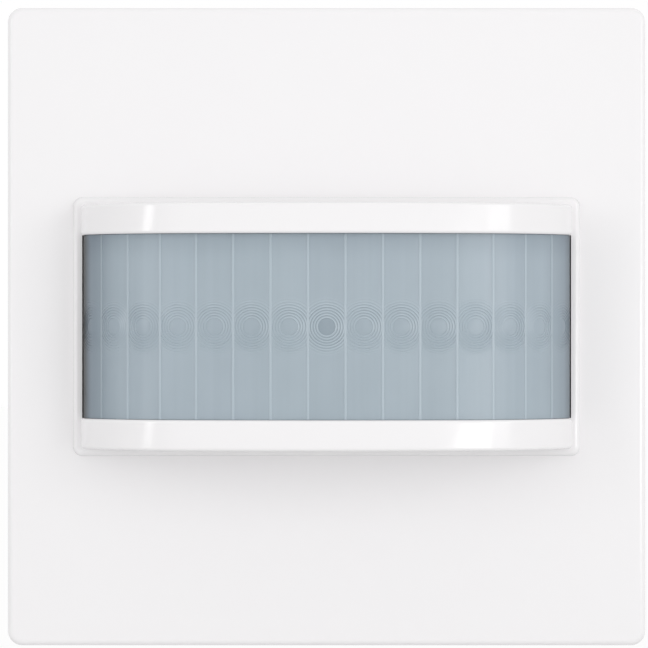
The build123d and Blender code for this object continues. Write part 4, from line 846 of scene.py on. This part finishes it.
# Tick marks round the adjusters, moulded on the rear cover
tick_count = 11
long_ticks = (0, 5, 10)
first_tick_turn = -135
tick_turn = 27
tick_width = 0.22
tick_height = 0.16
tick_edge = 0.04
long_tick = 1.1
short_tick = 0.7
tick_ring_r = 4.2
dial_x = 16.5
dial_h = 3.0
dial_z = -13.5
ticks = bmesh.new()
for side in (-1, 1):
    for step in range(tick_count):
        turn = radians(first_tick_turn + tick_turn * step)
        made = bmesh.ops.create_cube(ticks, size=1)["verts"]
        length = long_tick if step in long_ticks else short_tick
        bmesh.ops.scale(ticks, verts=made, vec=(tick_width, tick_height, length))
        bmesh.ops.translate(ticks, verts=made, vec=(0, 0, tick_ring_r + length / 2))
        bmesh.ops.rotate(
            ticks, verts=made, cent=(0, 0, 0), matrix=Matrix.Rotation(turn, 3, "Y"))
        bmesh.ops.translate(ticks, verts=made, vec=(side * dial_x, -dial_h, dial_z))
bmesh.ops.bevel(
    ticks, geom=ticks.edges[:], offset=tick_edge, segments=1, profile=0.5, affect="EDGES",
    material=-1)
bmesh.ops.scale(ticks, verts=ticks.verts, vec=(MM, MM, MM))
scale_marks = mesh_piece("adjuster_ticks", ticks, finishes["light_grey_plastic"], "sensor_head")

# Solder joints, as (radius, height) from the board up to the tip
solder_profile = ((0.9, 0.0), (0.72, 0.1), (0.5, 0.22), (0.36, 0.42), (0.3, 0.66), (0, 0.72))
solder_segments = 20
pin_count = 6
pin_pitch = 2.54
plug_z = 15.0
terminal_leg_z = -12.4
sensor_board_h = 8.1
power_board_h = -26.0
to_room = 1
to_wall = -1
pin_places = [((k - (pin_count - 1) / 2) * pin_pitch, plug_z) for k in range(pin_count)]
terminal_leg_places = [(x, terminal_leg_z) for x in terminal_xs]
part_leg_places = [
    (8.5, 9.4), (16.3, 9.4), (14.6, -5.25), (14.6, -0.75), (-12.0, 9.4), (3.0, 9.4),
    (5.3, -4.6), (7.9, -4.6), (-1.7, -2.7), (-15.5, -2.7),
]


def solder(name, body, places, board_h, outwards):
    """Solder cones on a board; outwards says which way they point."""
    built = bmesh.new()
    for x, z in places:
        start = len(built.verts)
        points = [built.verts.new((r, outwards * -up, 0)) for r, up in solder_profile]
        spin_round(built, points, (0, 1, 0), solder_segments)
        built.verts.ensure_lookup_table()
        bmesh.ops.translate(built, verts=built.verts[start:], vec=(x, -board_h, z))
    bmesh.ops.remove_doubles(built, verts=built.verts, dist=0.001)
    rims = [edge for edge in built.edges if edge.is_boundary]
    bmesh.ops.contextual_create(built, geom=rims)
    bmesh.ops.scale(built, verts=built.verts, vec=(MM, MM, MM))
    piece = mesh_piece(name, built, finishes["solder"], body, soft_angle=60)


solder("plug_solder", "sensor_head", pin_places, sensor_board_h, to_room)
solder("socket_solder", "insert", pin_places, power_board_h, to_wall)
solder("terminal_solder", "insert", terminal_leg_places, power_board_h, to_wall)
solder("parts_solder", "insert", part_leg_places, power_board_h, to_wall)

# Floor under the switch
bpy.ops.mesh.primitive_plane_add(size=4, location=(0, 0.4, -0.055))
floor = bpy.context.object
floor.name = "floor"


def pale_surface(name, level, white_share):
    """A pale matt surface, nearly white to the camera and in reflections, and clear from below."""
    material, tree, shader = start_material(name, Base_Color=grey(level), Roughness=0.8)
    glow = add_node(tree, "ShaderNodeEmission", in_Color=grey(1.0), in_Strength=1.0)
    share = maths(tree, "MULTIPLY", seen_directly(tree), white_share)
    whitened = add_node(tree, "ShaderNodeMixShader")
    link(tree, share, whitened.inputs[0])
    link(tree, shader.outputs[0], whitened.inputs[1])
    link(tree, glow.outputs[0], whitened.inputs[2])
    side = add_node(tree, "ShaderNodeNewGeometry")
    clear = add_node(tree, "ShaderNodeBsdfTransparent")
    one_sided = add_node(tree, "ShaderNodeMixShader")
    link(tree, side.outputs["Backfacing"], one_sided.inputs[0])
    link(tree, whitened.outputs[0], one_sided.inputs[1])
    link(tree, clear.outputs[0], one_sided.inputs[2])
    link(tree, one_sided.outputs[0], tree.nodes["Material Output"].inputs["Surface"])
    return material


floor.data.materials.append(pale_surface("floor_pale", level=0.85, white_share=0.93))

# Even light from all round; the background itself is white
fill_level = 0.795
world = bpy.data.worlds.new("studio")
bpy.context.scene.world = world
world.use_nodes = True
sky = world.node_tree
background = sky.nodes["Background"]
background.inputs["Color"].default_value = grey(1.0)
extra = maths(sky, "MULTIPLY", seen_directly(sky), 1 - fill_level)
link(sky, maths(sky, "ADD", extra, fill_level), background.inputs["Strength"])

# Soft lamps that look at the switch: name, place, width and height in metres, and watts
lamps = (
    ("front_lamp", (0, -1.6, 0.2), (2.4, 1.8), 4.5),
    ("right_lamp", (1.1, -1.0, 0.12), (0.5, 1.1), 4.0),
    ("left_lamp", (-1.15, -0.88, 0.1), (0.2, 1.1), 2.7),
    ("near_lamp", (0.25, -0.45, -0.02), (0.2, 0.05), 0.18),
)
for name, place, size, power in lamps:
    lamp_data = bpy.data.lights.new(name, "AREA")
    lamp_data.shape = "RECTANGLE"
    lamp_data.size, lamp_data.size_y = size
    lamp_data.energy = power
    lamp = bpy.data.objects.new(name, lamp_data)
    lamp.location = place
    lamp.rotation_euler = (-Vector(place)).to_track_quat("-Z", "Y").to_euler()
    bpy.context.scene.collection.objects.link(lamp)
